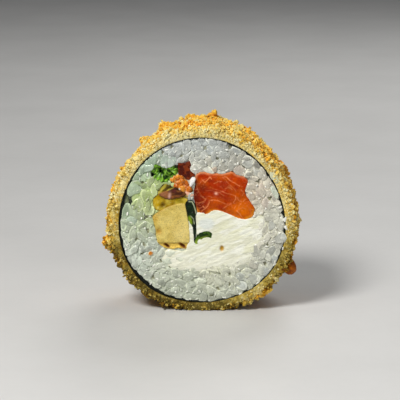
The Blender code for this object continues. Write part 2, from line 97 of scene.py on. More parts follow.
# Clumps of crumbs: angle, y, height, spread
CLUMPS = (
    (195.0, -9.8, 2.4, 1.9), (199.0, -6.0, 1.2, 1.8), (116.0, 8.7, 1.8, 1.7), (131.0, 6.1, 1.7, 1.6),
    (84.5, 8.7, 2.1, 1.5), (98.0, 8.7, 0.8, 1.9), (62.0, 6.1, 0.7, 2.0), (28.0, 3.0, 1.5, 1.6),
    (331.0, -8.7, 1.0, 1.8), (309.0, -8.7, 1.1, 1.8), (236.0, -8.7, 0.8, 1.6), (218.0, 6.1, 0.9, 1.8),
    (152.0, 3.0, 0.9, 2.0),
)
# The drop of batter: its angle, radius and y, its half sizes, and how much narrower it is above
DROP_PLACE = (-29.0, 31.2, -8.6)
DROP_SIZE = (2.0, 1.9, 2.6)
DROP_TAPER = 0.28

# How finely the crust is made, and its crumbs
CRUST_AROUND = 720
CRUST_ROWS = 81
FACE_ROWS = 11
CRUST_INNER_ROWS = (8.0, 0.0, -8.0)
# The reach from which a point counts as on the outside, and the y of one on a cut face
ON_OUTSIDE = 0.999
CUT_FROM = 11.0
# Each group of crumbs: how many, how finely made, their least and greatest size
CRUMBS = (
    ("fine_crumbs", 5200, 1, (0.13, 0.27)),
    ("crumbs", 7600, 1, (0.22, 0.46)),
    ("large_crumbs", 1500, 2, (0.4, 0.74)),
)

# The rice's grains: spacing, lowest and highest top, and whether they are pressed together, for the
# loose ones below, for those that the knife cut flat, and for the few that lie over them
GRAIN_LAYERS = ((2.5, -0.6, -0.2, False), (2.05, -0.12, 0.14, True), (3.9, 0.2, 0.42, False))
ON_TOP = 2
GRAIN_DARTS = 7000
GRAIN_SPOKES = 18
SPOKE_TURNS = 2 * math.pi * np.arange(GRAIN_SPOKES) / GRAIN_SPOKES
# How far out along its spokes each ring of a grain lies, and how far it has fallen there
GRAIN_PROFILE = ((0.55, 0.0), (0.84, 0.0), (0.94, 0.025), (1.0, 0.11), (0.98, 0.7))
GRAIN_DEEP = 1.1
# How many of its nearest neighbours a grain can be pressed against
NEIGHBOURS = 12
BIT_SPACING = 1.9
BIT_DARTS = 2500
# How far the rice's core lies under the cut
CORE_SUNK = 0.3

# How far some fillings reach under their neighbours, and how unevenly some are torn
GROWN = {"cream_cheese": 0.5, "roe": 0.2, "pickled_radish": 0.2}
RAGGED = {"mushroom": 0.1, "pickled_radish": 0.1, "tuna": 0.12, "spring_onion": 0.2}
GROWN_ELSE, RAGGED_ELSE = 0.05, 0.04

# The fillings' outlines on the cut face, crisper than the solids have them, in the same places
OUTLINES = {
    "salmon": (
        (-1.9, 14.0), (-1.5, 14.7), (-0.5, 15.1), (1.0, 15.2), (2.5, 14.9), (4.4, 14.9), (6.2, 14.7),
        (8.0, 15.1), (9.3, 15.6), (10.0, 15.1), (10.8, 14.4), (12.0, 14.1), (13.4, 13.8), (13.9, 13.2),
        (14.2, 12.2), (13.9, 11.8), (13.6, 10.6), (13.3, 9.7), (13.3, 8.8), (13.7, 7.5), (14.5, 6.6),
        (15.4, 5.4), (16.2, 4.3), (16.1, 3.1), (15.9, 2.0), (15.3, 1.2), (14.2, 0.9), (13.3, 0.3),
        (12.6, 0.0), (11.7, 0.3), (10.5, 0.8), (8.7, 1.2), (7.4, 1.6), (6.2, 2.3), (4.7, 2.9), (3.1, 3.1),
        (2.4, 2.4), (1.4, 1.4), (0.4, 1.0), (-0.4, 1.6), (-1.2, 2.3), (-1.5, 3.4), (-1.8, 4.7),
        (-2.1, 5.6), (-2.4, 6.9), (-2.5, 8.4), (-2.3, 10.0), (-2.0, 11.6), (-2.0, 12.9),
    ),
    "omelette": (
        (-15.2, 0.9), (-14.2, 2.0), (-12.8, 2.9), (-11.3, 3.8), (-9.7, 4.5), (-7.9, 5.1), (-6.4, 5.4),
        (-5.3, 5.4), (-5.1, 4.7), (-4.8, 3.1), (-4.4, 0.9), (-4.0, -1.5), (-3.8, -3.8), (-3.8, -6.2),
        (-3.9, -7.4), (-4.3, -9.1), (-5.5, -8.9), (-7.3, -8.6), (-8.8, -9.0), (-11.0, -8.8), (-12.5, -8.1),
        (-13.6, -7.1), (-13.8, -5.7), (-14.2, -4.3), (-14.2, -2.7), (-14.8, -0.7),
    ),
    "tuna": (
        (-7.2, 18.1), (-6.1, 17.8), (-4.8, 18.2), (-3.6, 18.7), (-3.4, 17.7), (-3.6, 16.5), (-3.3, 15.4),
        (-2.2, 14.7), (-2.1, 14.2), (-3.2, 13.7), (-3.7, 12.8), (-4.4, 13.0), (-5.0, 13.5), (-5.8, 14.2),
        (-6.7, 14.6), (-7.2, 14.7), (-7.0, 16.0), (-7.2, 17.1),
    ),
    "roe": (
        (-9.4, 12.4), (-8.9, 13.3), (-7.8, 14.1), (-6.8, 14.4), (-5.8, 14.2), (-5.1, 13.5), (-4.6, 12.4),
        (-4.1, 11.5), (-3.4, 10.6), (-2.8, 9.8), (-2.9, 9.1), (-3.6, 8.9), (-4.5, 9.1), (-5.3, 9.6),
        (-6.4, 10.1), (-7.6, 10.5), (-8.4, 11.0), (-9.1, 11.7),
    ),
    "mushroom": (
        (-13.2, 8.2), (-12.2, 8.8), (-11.0, 9.2), (-9.9, 9.4), (-9.0, 9.9), (-8.2, 10.4), (-7.4, 10.2),
        (-6.7, 9.6), (-6.0, 9.2), (-5.2, 8.8), (-4.9, 8.4), (-5.4, 7.8), (-6.7, 7.4), (-7.9, 7.2),
        (-9.0, 6.9), (-9.9, 6.6), (-10.9, 7.0), (-11.9, 7.4), (-12.8, 7.8),
    ),
    "pickled_radish": (
        (-13.2, 9.2), (-12.8, 10.1), (-12.1, 11.0), (-11.3, 11.4), (-10.4, 11.1), (-8.8, 10.6),
        (-7.6, 10.1), (-6.4, 9.5), (-5.0, 8.6), (-4.3, 7.5), (-4.6, 6.4), (-5.0, 5.6), (-5.3, 5.0),
        (-7.3, 4.9), (-9.1, 4.4), (-10.5, 3.9), (-11.7, 3.4), (-12.8, 3.2), (-13.8, 3.5), (-14.5, 4.2),
        (-14.8, 5.1), (-14.8, 6.2), (-14.5, 7.2), (-13.9, 7.9), (-13.3, 8.4),
    ),
    "cucumber": (
        (-5.1, 5.8), (-4.7, 6.3), (-3.9, 6.5), (-3.1, 6.5), (-2.4, 5.8), (-1.8, 4.6), (-1.6, 3.2),
        (-1.7, 2.3), (-2.1, 1.3), (-1.9, 0.1), (-1.7, -1.3), (-1.8, -3.2), (-1.9, -4.8), (-2.0, -6.0),
        (-2.1, -7.0), (-2.4, -7.2), (-2.5, -5.4), (-2.6, -3.2), (-2.8, -2.0), (-3.2, -1.8), (-3.7, -0.7),
        (-4.2, 0.9), (-4.6, 1.8), (-4.8, 3.1), (-5.0, 4.7),
    ),
    "spring_onion": (
        (-1.5, -5.2), (-1.2, -4.2), (-0.6, -3.7), (0.1, -3.6), (0.8, -3.3), (1.6, -3.6), (2.3, -3.4),
        (3.1, -4.0), (2.8, -4.5), (3.0, -5.5), (2.2, -5.1), (1.3, -5.3), (0.3, -5.5), (-0.3, -6.2),
        (-1.0, -7.1), (-1.8, -7.5), (-2.2, -7.2), (-1.9, -6.0),
    ),
    "lettuce": (
        (-15.7, 14.6), (-15.3, 15.7), (-14.7, 16.9), (-13.9, 17.7), (-13.0, 17.1), (-11.9, 16.6),
        (-10.7, 16.4), (-9.4, 16.7), (-8.5, 17.2), (-7.5, 17.4), (-7.1, 16.8), (-7.2, 15.5), (-7.7, 14.3),
        (-8.6, 13.6), (-9.5, 12.8), (-10.5, 12.3), (-11.4, 12.0), (-12.4, 12.1), (-12.9, 12.9),
        (-13.6, 13.2), (-14.4, 13.7), (-15.3, 13.6),
    ),
}

# Pale fibres of the salmon at the front: how strong each is, and its points
FIBRES = (
    (0.8, ((-0.1, 13.2), (1.0, 12.2), (1.9, 13.1), (2.5, 13.8), (3.0, 13.2))),
    (0.55, ((3.7, 11.7), (4.7, 12.2), (5.3, 12.6), (5.7, 12.3))),
    (1.0, ((7.1, 14.0), (7.7, 13.8), (8.3, 13.1), (9.0, 12.5), (10.2, 11.9), (11.6, 11.1))),
    (0.4, ((6.5, 13.8), (7.6, 12.5), (8.7, 11.4), (9.7, 10.5), (10.5, 9.4))),
    (0.7, ((7.1, 10.0), (7.7, 10.5), (8.0, 10.8), (9.2, 10.0))),
    (0.4, (
        (2.5, 10.6), (3.7, 10.1), (5.0, 9.8), (6.5, 9.3), (7.4, 8.8), (8.7, 8.6), (9.9, 8.1), (10.5, 7.7),
    )),
    (0.85, ((10.3, 8.0), (10.3, 6.9), (9.7, 5.9))),
    (0.5, ((10.5, 7.5), (11.3, 6.7), (12.3, 6.1))),
    (0.7, ((13.3, 6.9), (12.8, 6.2))),
    (0.6, ((3.7, 6.6), (5.0, 6.4), (6.2, 5.9), (7.1, 5.6))),
    (0.95, ((7.1, 5.6), (8.2, 5.1), (8.8, 5.5))),
    (0.6, ((6.6, 4.0), (7.4, 4.7), (8.1, 5.1))),
    (0.5, ((9.0, 5.1), (9.3, 4.3))),
    (0.85, ((3.3, 6.6), (2.2, 6.6), (2.2, 5.6), (1.8, 4.8), (1.0, 3.9), (0.4, 4.7))),
    (0.75, ((1.0, 3.7), (0.1, 3.2), (-0.4, 2.0))),
    (0.5, ((-1.7, 5.8), (-1.5, 4.2), (-1.2, 2.6))),
    (0.45, ((-1.0, 5.6), (0.1, 5.9), (1.0, 6.4), (1.4, 7.2))),
    (0.5, ((-0.2, 8.3), (0.4, 7.5), (1.1, 6.9))),
    (0.3, ((-1.5, 11.9), (-1.5, 10.6), (-1.1, 9.4), (-0.4, 8.6))),
    (0.8, ((10.3, 4.7), (9.9, 3.9))),
    (0.6, ((12.0, 5.5), (11.4, 4.9), (11.2, 4.0))),
    (0.9, ((10.7, 3.3), (11.6, 2.5), (12.2, 1.5))),
    (0.5, ((11.1, 3.6), (12.5, 4.2), (13.4, 3.8))),
    (0.5, ((12.0, 10.0), (12.8, 8.9), (12.5, 8.1))),
    (0.35, ((1.3, 9.5), (3.1, 9.6), (5.3, 9.1), (6.8, 8.1))),
    (0.4, ((13.9, 5.0), (14.7, 3.7), (15.3, 2.1))),
)
SALMON_MIDDLE = (7.0, 7.6)


def screen(red, green, blue):
    """A colour as a screen shows it, from 0 to 255, in the linear terms that shaders use."""
    parts = np.array((red, green, blue)) / 255
    return np.where(parts > 0.04045, ((parts + 0.055) / 1.055) ** 2.4, parts / 12.92)


def smoothstep(value):
    """From 0 to 1 as the value goes from 0 to 1, eased at both ends."""
    value = np.clip(value, 0, 1)
    return value * value * (3 - 2 * value)


def between(low, high, share):
    """Numbers from low to high as share goes from 0 to 1."""
    return low + (high - low) * share


def blend(first, second, share):
    """Colours between first and second, one for each share."""
    return first + (second - first) * np.asarray(share)[..., None]


def rotated(x, z, angle):
    """x and z turned by an angle in radians."""
    cosine, sine = np.cos(angle), np.sin(angle)
    return x * cosine - z * sine, x * sine + z * cosine


def spot(places, x, z, wide, high=None, turn=0.0):
    """1 at a point of the cut face, falling softly to 0 over the given half width and height."""
    along, across = rotated(places[:, 0] - x, places[:, 2] - z, -math.radians(turn))
    return np.exp(-(along / wide) ** 2 - (across / (high or wide)) ** 2)


# Random fields, the same on every run

def hashed(cells, salt):
    """An even random number from 0 to 1 for each whole-numbered cell."""
    mixed = np.full(cells.shape[:-1], (salt * 2654435761 + 97) % 2 ** 32, dtype=np.uint64)
    low = np.uint64(0xffffffff)
    for axis, factor in enumerate((374761393, 668265263, 2246822519)):
        part = (cells[..., axis] & 0xffffffff).astype(np.uint64) * np.uint64(factor)
        mixed = ((mixed ^ (part & low)) * np.uint64(2654435761)) & low
        mixed ^= mixed >> np.uint64(15)
    return mixed / 2.0 ** 32


def rumple(points, size, salt=0):
    """Smooth random heights from -1 to 1, in swells about as wide as size."""
    scaled = points / size
    base = np.floor(scaled).astype(np.int64)
    part = scaled - base
    part = part * part * (3 - 2 * part)
    total = np.zeros(len(points))
    for corner in np.ndindex(2, 2, 2):
        weight = np.prod(np.where(corner, part, 1 - part), axis=1)
        total += weight * hashed(base + corner, salt)
    return 2 * total - 1


def rough(points, size, salt=0, layers=3):
    """Swells with ever smaller ones on them."""
    return sum(rumple(points, size / 2 ** k, salt + k) / 2 ** k for k in range(layers))


def pebbles(points, size, salt=0):
    """Distances to the nearest of points scattered one to a cell."""
    scaled = points / size
    base = np.floor(scaled).astype(np.int64)
    nearest = np.full(len(points), 9.0)
    for offset in np.ndindex(3, 3, 3):
        cell = base + np.array(offset) - 1
        middle = np.stack([hashed(cell, salt + axis) for axis in range(3)], axis=1)
        nearest = np.minimum(nearest, np.linalg.norm(cell + middle - scaled, axis=1))
    return nearest


def turned(points, degrees, stretch=1.0):
    """Points of the cut face in axes turned by an angle, the first of them squeezed by stretch."""
    along, across = rotated(points[:, 0], points[:, 2], -math.radians(degrees))
    return np.stack([along / stretch, points[:, 1], across], axis=1)


# Meshes

def linked(name, data):
    """An object in the scene with the given data."""
    obj = bpy.data.objects.new(name, data)
    bpy.context.scene.collection.objects.link(obj)
    return obj


def add_piece(name, points, faces, finish, replaces=(), smooth=True, values=None, tint=None):
    """A piece from points in millimetres, with its face lists, vertex values and vertex colours."""
    used = np.zeros(len(points), dtype=bool)
    for part in faces:
        used[part.ravel()] = True
    place_of = np.cumsum(used) - 1
    mesh = bpy.data.meshes.new(name)
    world = (points[used] + (0, 0, AXIS_HEIGHT)) * MM
    mesh.from_pydata(world.tolist(), [], [corners for part in faces for corners in place_of[part].tolist()])
    mesh.materials.append(finish)
    for label, numbers in (values or {}).items():
        layer = mesh.attributes.new(label, "FLOAT", "POINT")
        layer.data.foreach_set("value", numbers[used].astype(np.float32))
    if tint is not None:
        colours = np.concatenate([np.clip(tint[used], 0, 1), np.ones((np.sum(used), 1))], axis=1)
        layer = mesh.attributes.new("tint", "FLOAT_COLOR", "POINT")
        layer.data.foreach_set("color", colours.astype(np.float32).ravel())
    if smooth:
        mesh.shade_smooth()
    obj = linked(name, mesh)
    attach(obj, "root")
    if replaces:
        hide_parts(*replaces)


def grid_faces(around, across):
    """Quads of a grid that closes on itself both ways."""
    i, k = np.meshgrid(np.arange(around), np.arange(across), indexing="ij")
    next_i, next_k = (i + 1) % around, (k + 1) % across
    corners = (i * across + k, i * across + next_k, next_i * across + next_k, next_i * across + k)
    return np.stack(corners, axis=-1).reshape(-1, 4)


def ball(subdivisions):
    """Points and triangles of a unit ball of even triangles."""
    bm = bmesh.new()
    bmesh.ops.create_icosphere(bm, subdivisions=subdivisions, radius=1.0)
    points = np.array([vert.co[:] for vert in bm.verts])
    faces = np.array([[vert.index for vert in face.verts] for face in bm.faces])
    bm.free()
    return points, faces


def repeated(faces, copies, count):
    """The faces of a template of count points, for each of its copies."""
    return (faces[None] + (np.arange(copies) * count)[:, None, None]).reshape(-1, faces.shape[1])


def along_line(flat, line, reach):
    """1 on a line through the given points of the face, falling to 0 at reach from it."""
    share = np.zeros(len(flat))
    points = np.array(line)
    for start, end in zip(points, points[1:]):
        run = end - start
        at = np.clip((flat - start) @ run / (run @ run), 0, 1)
        away = np.linalg.norm(flat - start - at[:, None] * run, axis=1)
        share = np.maximum(share, smoothstep(1.5 * (1 - away / reach)))
    return share


def spaced(darts, spacing):
    """Those of the darts that lie far enough from every one kept before them."""
    kept = []
    for dart in darts:
        if all(np.hypot(*(dart - other)) > spacing for other in kept):
            kept.append(dart)
    return np.array(kept)


def random_turns(draw, count):
    """Random rotations, as matrices."""
    w, x, y, z = (lambda q: q / np.linalg.norm(q, axis=0))(draw.normal(size=(4, count)))
    return np.stack([
        1 - 2 * (y * y + z * z), 2 * (x * y - z * w), 2 * (x * z + y * w),
        2 * (x * y + z * w), 1 - 2 * (x * x + z * z), 2 * (y * z - x * w),
        2 * (x * z - y * w), 2 * (y * z + x * w), 1 - 2 * (x * x + y * y),
    ], axis=1).reshape(count, 3, 3)


# Outlines and the areas inside them

def node_section(name):
    """The loops that a plane near the slice's middle cuts from a solid, the widest first."""
    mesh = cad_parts[name].data
    mesh.calc_loop_triangles()
    raw = np.array([vert.co[:] for vert in mesh.vertices]) / MM - (0, SECTION_AT, AXIS_HEIGHT)
    points, index = np.unique(np.round(raw, 2), axis=0, return_inverse=True)
    index = index.ravel()
    links = {}
    for triangle in mesh.loop_triangles:
        corners = [index[i] for i in triangle.vertices]
        crossed = []
        for a, b in zip(corners, corners[1:] + corners[:1]):
            if (points[a][1] > 0) != (points[b][1] > 0):
                crossed.append((min(a, b), max(a, b)))
        if len(crossed) == 2:
            links.setdefault(crossed[0], []).append(crossed[1])
            links.setdefault(crossed[1], []).append(crossed[0])
    loops = []
    while links:
        edge = next(iter(links))
        chain = []
        while edge in links:
            chain.append(edge)
            following = [other for other in links.pop(edge) if other in links]
            if not following:
                break
            edge = following[0]
        loop = []
        for a, b in chain:
            share = points[a][1] / (points[a][1] - points[b][1])
            loop.append((points[a] + (points[b] - points[a]) * share)[[0, 2]])
        loops.append(np.array(loop))
    return sorted(loops, key=lambda loop: abs(enclosed(loop)), reverse=True)


def enclosed(loop):
    """The area in a loop, negative if it runs clockwise."""
    following = np.roll(loop, -1, axis=0)
    return 0.5 * np.sum(loop[:, 0] * following[:, 1] - following[:, 0] * loop[:, 1])


def resampled(loop, step):
    """The closed loop with its points at even distances."""
    closed = np.concatenate([loop, loop[:1]])
    lengths = np.concatenate([[0], np.cumsum(np.linalg.norm(np.diff(closed, axis=0), axis=1))])
    at = np.linspace(0, lengths[-1], max(8, round(lengths[-1] / step)), endpoint=False)
    return np.stack([np.interp(at, lengths, closed[:, k]) for k in (0, 1)], axis=1)


def softened(loop):
    """The loop with its corners eased."""
    return (np.roll(loop, 1, axis=0) + 2 * loop + np.roll(loop, -1, axis=0)) / 4


def outward_of(loop):
    """Unit normals of a counter-clockwise loop, pointing out of it."""
    along = np.roll(loop, -1, axis=0) - np.roll(loop, 1, axis=0)
    normal = np.stack([along[:, 1], -along[:, 0]], axis=1)
    return normal / np.linalg.norm(normal, axis=1, keepdims=True)


def outline(name, grow):
    """The section of one solid as a counter-clockwise loop, grown a little under its neighbours."""
    return torn(softened(resampled(node_section(name)[0], 2 * PROBE)), grow, 0.0)


def torn(loop, grow, ragged):
    """The loop counter-clockwise, a little grown, and with an uneven edge."""
    loop = resampled(loop if enclosed(loop) > 0 else loop[::-1], 2 * PROBE)
    reach = grow + ragged * (rough(on_face(loop, 0), 1.4, 200, 2) + 0.4)
    return softened(loop + outward_of(loop) * reach[:, None])


class Region:
    """The inside of a loop, less the insides of other loops."""

    def __init__(self, outer, holes=(), step=0.25):
        self.step = step
        self.loops = [resampled(outer, step)] + [resampled(hole[::-1], step) for hole in holes]
        fine = [resampled(loop, PROBE) for loop in self.loops]
        shown = [np.ones(len(loop), dtype=bool) for loop in fine]
        for k, loop in enumerate(fine[1:], 1):
            for other in fine[1:k] + fine[k + 1:]:
                shown[k] &= ~within(loop, other)
        self.edge = np.concatenate([loop[kept] for loop, kept in zip(fine, shown)])
        self.tree = kdtree.KDTree(len(self.edge))
        for i, (x, z) in enumerate(self.edge):
            self.tree.insert((x, z, 0), i)
        self.tree.balance()

    def depth(self, flat):
        """How far each point lies inside the edge, negative outside."""
        away = np.array([self.tree.find((x, z, 0))[2] for x, z in flat])
        inside = within(flat, self.loops[0])
        for hole in self.loops[1:]:
            inside &= ~within(flat, hole)
        return np.where(inside, away, -away)

    def filled(self):
        """Staggered points over the inside, clear of the edge."""
        row_step = self.step * math.sqrt(3) / 2
        low, high = self.edge.min(axis=0), self.edge.max(axis=0)
        rows, columns = ((high[::-1] - low[::-1]) / (row_step, self.step)).astype(int) + 1
        row, column = np.meshgrid(np.arange(rows), np.arange(columns), indexing="ij")
        x = low[0] + self.step * (column + 0.5 * (row % 2))
        z = low[1] + row_step * (row + 0.5)
        flat = np.stack([x.ravel(), z.ravel()], axis=1)
        return flat[self.depth(flat) > 0.45 * self.step]


def within(flat, loop):
    """Whether each point lies in the loop, by the even-odd rule."""
    found = np.zeros(len(flat), dtype=bool)
    for (ax, az), (bx, bz) in zip(loop, np.roll(loop, -1, axis=0)):
        if az == bz:
            continue
        spans = (az > flat[:, 1]) != (bz > flat[:, 1])
        found ^= spans & (flat[:, 0] < (bx - ax) * (flat[:, 1] - az) / (bz - az) + ax)
    return found


def on_face(flat, side):
    """Points of the section, carried to one cut face."""
    return np.stack([flat[:, 0], np.full(len(flat), side * HALF), flat[:, 1]], axis=1)


def slab(name, region, relief, paint, finish, slot, rounding=0.3, waist=None):
    """A filling from face to face. relief and paint take places on a face and their depth in from the edge.

    waist is the loop that it keeps to between its faces, where it spreads over its neighbours at them.
    """
    rim = np.concatenate(region.loops)
    points = np.concatenate([rim, region.filled()])
    edges, start = [], 0
    for loop in region.loops:
        edges += [(start + i, start + (i + 1) % len(loop)) for i in range(len(loop))]
        start += len(loop)
    corners, _, triangles, came_from, _, _ = geometry.delaunay_2d_cdt(
        [Vector(point) for point in points], edges, [], 1, 1e-6)
    flat, triangles = np.array(corners), np.array(triangles)
    for hole in region.loops[1:]:
        triangles = triangles[~within(flat[triangles].mean(axis=1), hole)]
    border = open_edges(triangles)
    depth = np.maximum(region.depth(flat), 0)
    depth[border.ravel()] = 0
    short = np.clip(rounding - depth, 0, rounding)
    fall = rounding - np.sqrt(rounding ** 2 - short ** 2)
    layers, colours = [], []
    for side in SIDES:
        places = on_face(flat, side)
        raised = places.copy()
        raised[:, 1] += side * (relief(places, depth) - fall)
        layers.append(raised)
        colours.append(paint(places, depth))
    if waist is not None:
        kept_to = flat.copy()
        for made, sources in enumerate(came_from):
            if sources and sources[0] < len(waist):
                kept_to[made] = waist[sources[0]]
        for side in SIDES:
            layers.append(on_face(kept_to, side) * (1, 0.9, 1))
            colours.append(colours[0])
    count = len(flat)
    rows = [0, count] if waist is None else [0, 2 * count, 3 * count, count]
    faces = [triangles, triangles[:, ::-1] + count]
    for low, high in zip(rows, rows[1:]):
        faces.append(np.stack(
            [border[:, 1] + low, border[:, 0] + low, border[:, 0] + high, border[:, 1] + high], axis=1))
    add_piece(name, np.concatenate(layers), faces, finish, (slot,), tint=np.concatenate(colours))


def open_edges(triangles):
    """Edges that only one triangle has, in the order that it has them."""
    edges = np.concatenate([triangles[:, [0, 1]], triangles[:, [1, 2]], triangles[:, [2, 0]]])
    ordered = np.sort(edges, axis=1)
    _, first, counts = np.unique(ordered, axis=0, return_index=True, return_counts=True)
    return edges[first[counts == 1]]


# Shader nodes

class Finish:
    """One material and short ways to build its nodes. Sizes are in millimetres."""

    def __init__(self, name, **constants):
        self.material = bpy.data.materials.new(name)
        self.material.use_nodes = True
        self.tree = self.material.node_tree
        self.shader = self.tree.nodes["Principled BSDF"]
        self.place = self.node("ShaderNodeTexCoord").outputs["Object"]
        for label, value in constants.items():
            self.shader.inputs[label.replace("_", " ")].default_value = value

    def node(self, kind, inputs=None, **settings):
        """A node with its settings, and its inputs linked or set."""
        made = self.tree.nodes.new(kind)
        for label, value in settings.items():
            setattr(made, label, value)
        for label, value in (inputs or {}).items():
            if isinstance(value, bpy.types.NodeSocket):
                self.tree.links.new(value, made.inputs[label])
            else:
                made.inputs[label].default_value = value
        return made

    def set(self, label, value):
        """Links an input of the surface shader."""
        self.tree.links.new(value, self.shader.inputs[label])

    def noise(self, size, detail=3.0, roughness=0.5, vector=None):
        """Soft noise with features about as wide as size."""
        inputs = {
            "Vector": vector or self.place, "Scale": 1 / (size * MM),
            "Detail": detail, "Roughness": roughness,
        }
        return self.node("ShaderNodeTexNoise", inputs).outputs["Fac"]

    def voronoi(self, size, vector):
        """Distance to the nearest of scattered points."""
        inputs = {"Vector": vector, "Scale": 1 / (size * MM)}
        return self.node("ShaderNodeTexVoronoi", inputs).outputs["Distance"]

    def mapped(self, turn=(0, 0, 0), stretch=(1, 1, 1), warp=0.0, warp_size=2.0):
        """The place, turned by degrees and stretched, and bent by soft noise of warp millimetres."""
        vector = self.place
        if warp:
            bent = self.node(
                "ShaderNodeTexNoise", {"Vector": vector, "Scale": 1 / (warp_size * MM), "Detail": 2.0})
            centred = self.node("ShaderNodeVectorMath", {0: bent.outputs["Color"], 1: (0.5, 0.5, 0.5)},
                                operation="SUBTRACT")
            scaled = self.node("ShaderNodeVectorMath", {0: centred.outputs[0], "Scale": 2 * warp * MM},
                               operation="SCALE")
            vector = self.node("ShaderNodeVectorMath", {0: vector, 1: scaled.outputs[0]},
                               operation="ADD").outputs[0]
        inputs = {
            "Vector": vector, "Rotation": [math.radians(a) for a in turn],
            "Scale": [1 / s for s in stretch],
        }
        return self.node("ShaderNodeMapping", inputs).outputs[0]

    def value(self, name):
        """A number painted on the mesh."""
        return self.node("ShaderNodeAttribute", attribute_name=name).outputs["Fac"]

    def colour(self):
        """The colour painted on the mesh."""
        return self.node("ShaderNodeAttribute", attribute_name="tint").outputs["Color"]

    def span(self, value, low, high, to_low=0.0, to_high=1.0):
        """A value carried from one span of numbers to another, and kept within it."""
        inputs = {"Value": value, "From Min": low, "From Max": high, "To Min": to_low, "To Max": to_high}
        return self.node("ShaderNodeMapRange", inputs).outputs[0]

    def clouded(self, low, high, *patches):
        """Soft patches of noise between two numbers."""
        return self.span(self.noise(*patches), 0.3, 0.7, low, high)

    def math(self, operation, first, second):
        return self.node("ShaderNodeMath", {0: first, 1: second}, operation=operation).outputs[0]

    def ramp(self, value, stops):
        made = self.node("ShaderNodeValToRGB", {"Fac": value})
        elements = made.color_ramp.elements
        while len(elements) < len(stops):
            elements.new(0.5)
        for element, (position, colour) in zip(elements, stops):
            element.position = position
            element.color = (*colour, 1.0)
        return made.outputs["Color"]

    def mix(self, share, first, second, kind="MIX"):
        inputs = {0: share}
        for label, value in ((6, first), (7, second)):
            inputs[label] = value if isinstance(value, bpy.types.NodeSocket) else (*value, 1.0)
        return self.node("ShaderNodeMix", inputs, data_type="RGBA", blend_type=kind).outputs[2]

    def bump(self, height, depth, normal=None):
        """A normal that follows a height, over another bump if one is given."""
        inputs = {"Height": height, "Distance": depth * MM}
        if normal:
            inputs["Normal"] = normal
        return self.node("ShaderNodeBump", inputs).outputs[0]

    def shaded(self, colour, shade):
        """The colour times a number."""
        level = self.node("ShaderNodeCombineColor", {0: shade, 1: shade, 2: shade}).outputs[0]
        return self.mix(1.0, colour, level, "MULTIPLY")

    def finished(self, colour, roughness, relief, fine=None):
        """The material, with its colour and roughness and with one or two bumps: height and depth."""
        self.set("Base Color", colour)
        self.set("Roughness", roughness)
        self.set("Normal", self.bump(*relief, self.bump(*fine) if fine else None))
        return self.material


def grey(value):
    """A colour with no hue."""
    return (value, value, value)


def crust_finish():
    """Dry crumb: cream inside, gold to toasted brown outside; painted shade in its pits, and lower down along
    with oil browning.
    """
    f = Finish("fried_crust", Specular_IOR_Level=0.2)
    dry = f.value("dry")
    patchy = f.math("ADD", f.value("fry"), f.clouded(-0.12, 0.12, 0.9, 4.0, 0.65))
    colour = f.ramp(patchy, (
        (0.0, screen(244, 234, 178)), (0.18, screen(242, 220, 132)), (0.42, screen(252, 206, 76)),
        (0.62, screen(248, 180, 40)), (0.82, screen(230, 138, 20)), (1.0, screen(172, 90, 12)),
    ))
    speck = f.span(f.noise(0.35, 3.0, 0.6), 0.36, 0.62, 0.8, 1.1)
    # Pale cream specks, more of them where the crust is painted lit: painted highlights
    pale = f.span(f.noise(0.4, 3.0, 0.6), 0.56, 0.72, 0.0, 0.5)
    colour = f.mix(f.math("MULTIPLY", pale, dry), colour, screen(255, 238, 170))
    # Darker lower down on the crust: partly browned in oil, partly painted shade
    soaked = f.ramp(dry, ((0.0, (0.168, 0.134, 0.036)), (0.5, (0.62, 0.545, 0.25)), (1.0, grey(1.0))))
    colour = f.mix(1.0, colour, soaked, "MULTIPLY")
    # The pits are painted darker, more so where the crust is painted darker lower down: painted shade
    hollow = f.mix(dry, screen(74, 52, 26), screen(200, 168, 104))
    colour = f.mix(1.0, colour, f.mix(f.value("pit"), grey(1.0), hollow), "MULTIPLY")
    return f.finished(f.shaded(colour, speck), f.clouded(0.5, 0.85, 0.5), (f.noise(0.45, 4.0, 0.6), 0.14),
                      (f.noise(0.16, 3.0, 0.6), 0.05))


def drop_finish():
    """Fried batter, smooth and brown, with a thin oily gloss."""
    f = Finish("fried_batter", Specular_IOR_Level=0.15, Coat_Weight=0.08, Coat_Roughness=0.2)
    colour = f.ramp(f.noise(1.4, 4.0, 0.6), (
        (0.3, screen(92, 40, 0)), (0.52, screen(146, 72, 0)), (0.75, screen(196, 110, 10)),
    ))
    return f.finished(colour, f.clouded(0.35, 0.6, 0.7), (f.noise(0.5, 4.0, 0.6), 0.08))


def nori_finish():
    """Roasted seaweed: black green, with fine pressed strands that catch the light."""
    f = Finish("nori", Specular_IOR_Level=0.2)
    strands = f.noise(0.5, 5.0, 0.7, f.mapped(stretch=(1, 4, 1)))
    colour = f.ramp(strands, ((0.3, screen(6, 9, 7)), (0.55, screen(14, 20, 14)), (0.8, screen(34, 44, 30))))
    return f.finished(colour, f.span(strands, 0.3, 0.7, 0.3, 0.6), (strands, 0.06))


def rice_finish():
    """Cooked rice: grey and see-through where cut, milky at the skin with painted light glowing through its
    edges, moist.
    """
    f = Finish("rice", Specular_IOR_Level=0.55, Sheen_Weight=0.4, Sheen_Roughness=0.4, Coat_Weight=0.6,
               Coat_Roughness=0.1)
    colour = f.shaded(f.colour(), f.clouded(0.78, 1.14, 0.9, 6.0, 0.75))
    wisps = f.noise(0.7, 6.0, 0.75, f.mapped((0, 70, 0), (2.2, 1.0, 1.0), warp=0.5, warp_size=1.4))
    lighter = f.mix(1.0, f.mix(0.35, f.colour(), grey(1.0)), grey(1.04), "MULTIPLY")
    colour = f.mix(f.span(wisps, 0.53, 0.66, 0.0, 0.4), colour, lighter)
    return f.finished(colour, f.clouded(0.12, 0.4, 0.6), (f.noise(0.9, 4.0, 0.6), 0.2),
                      (f.noise(0.35, 4.0, 0.7), 0.12))


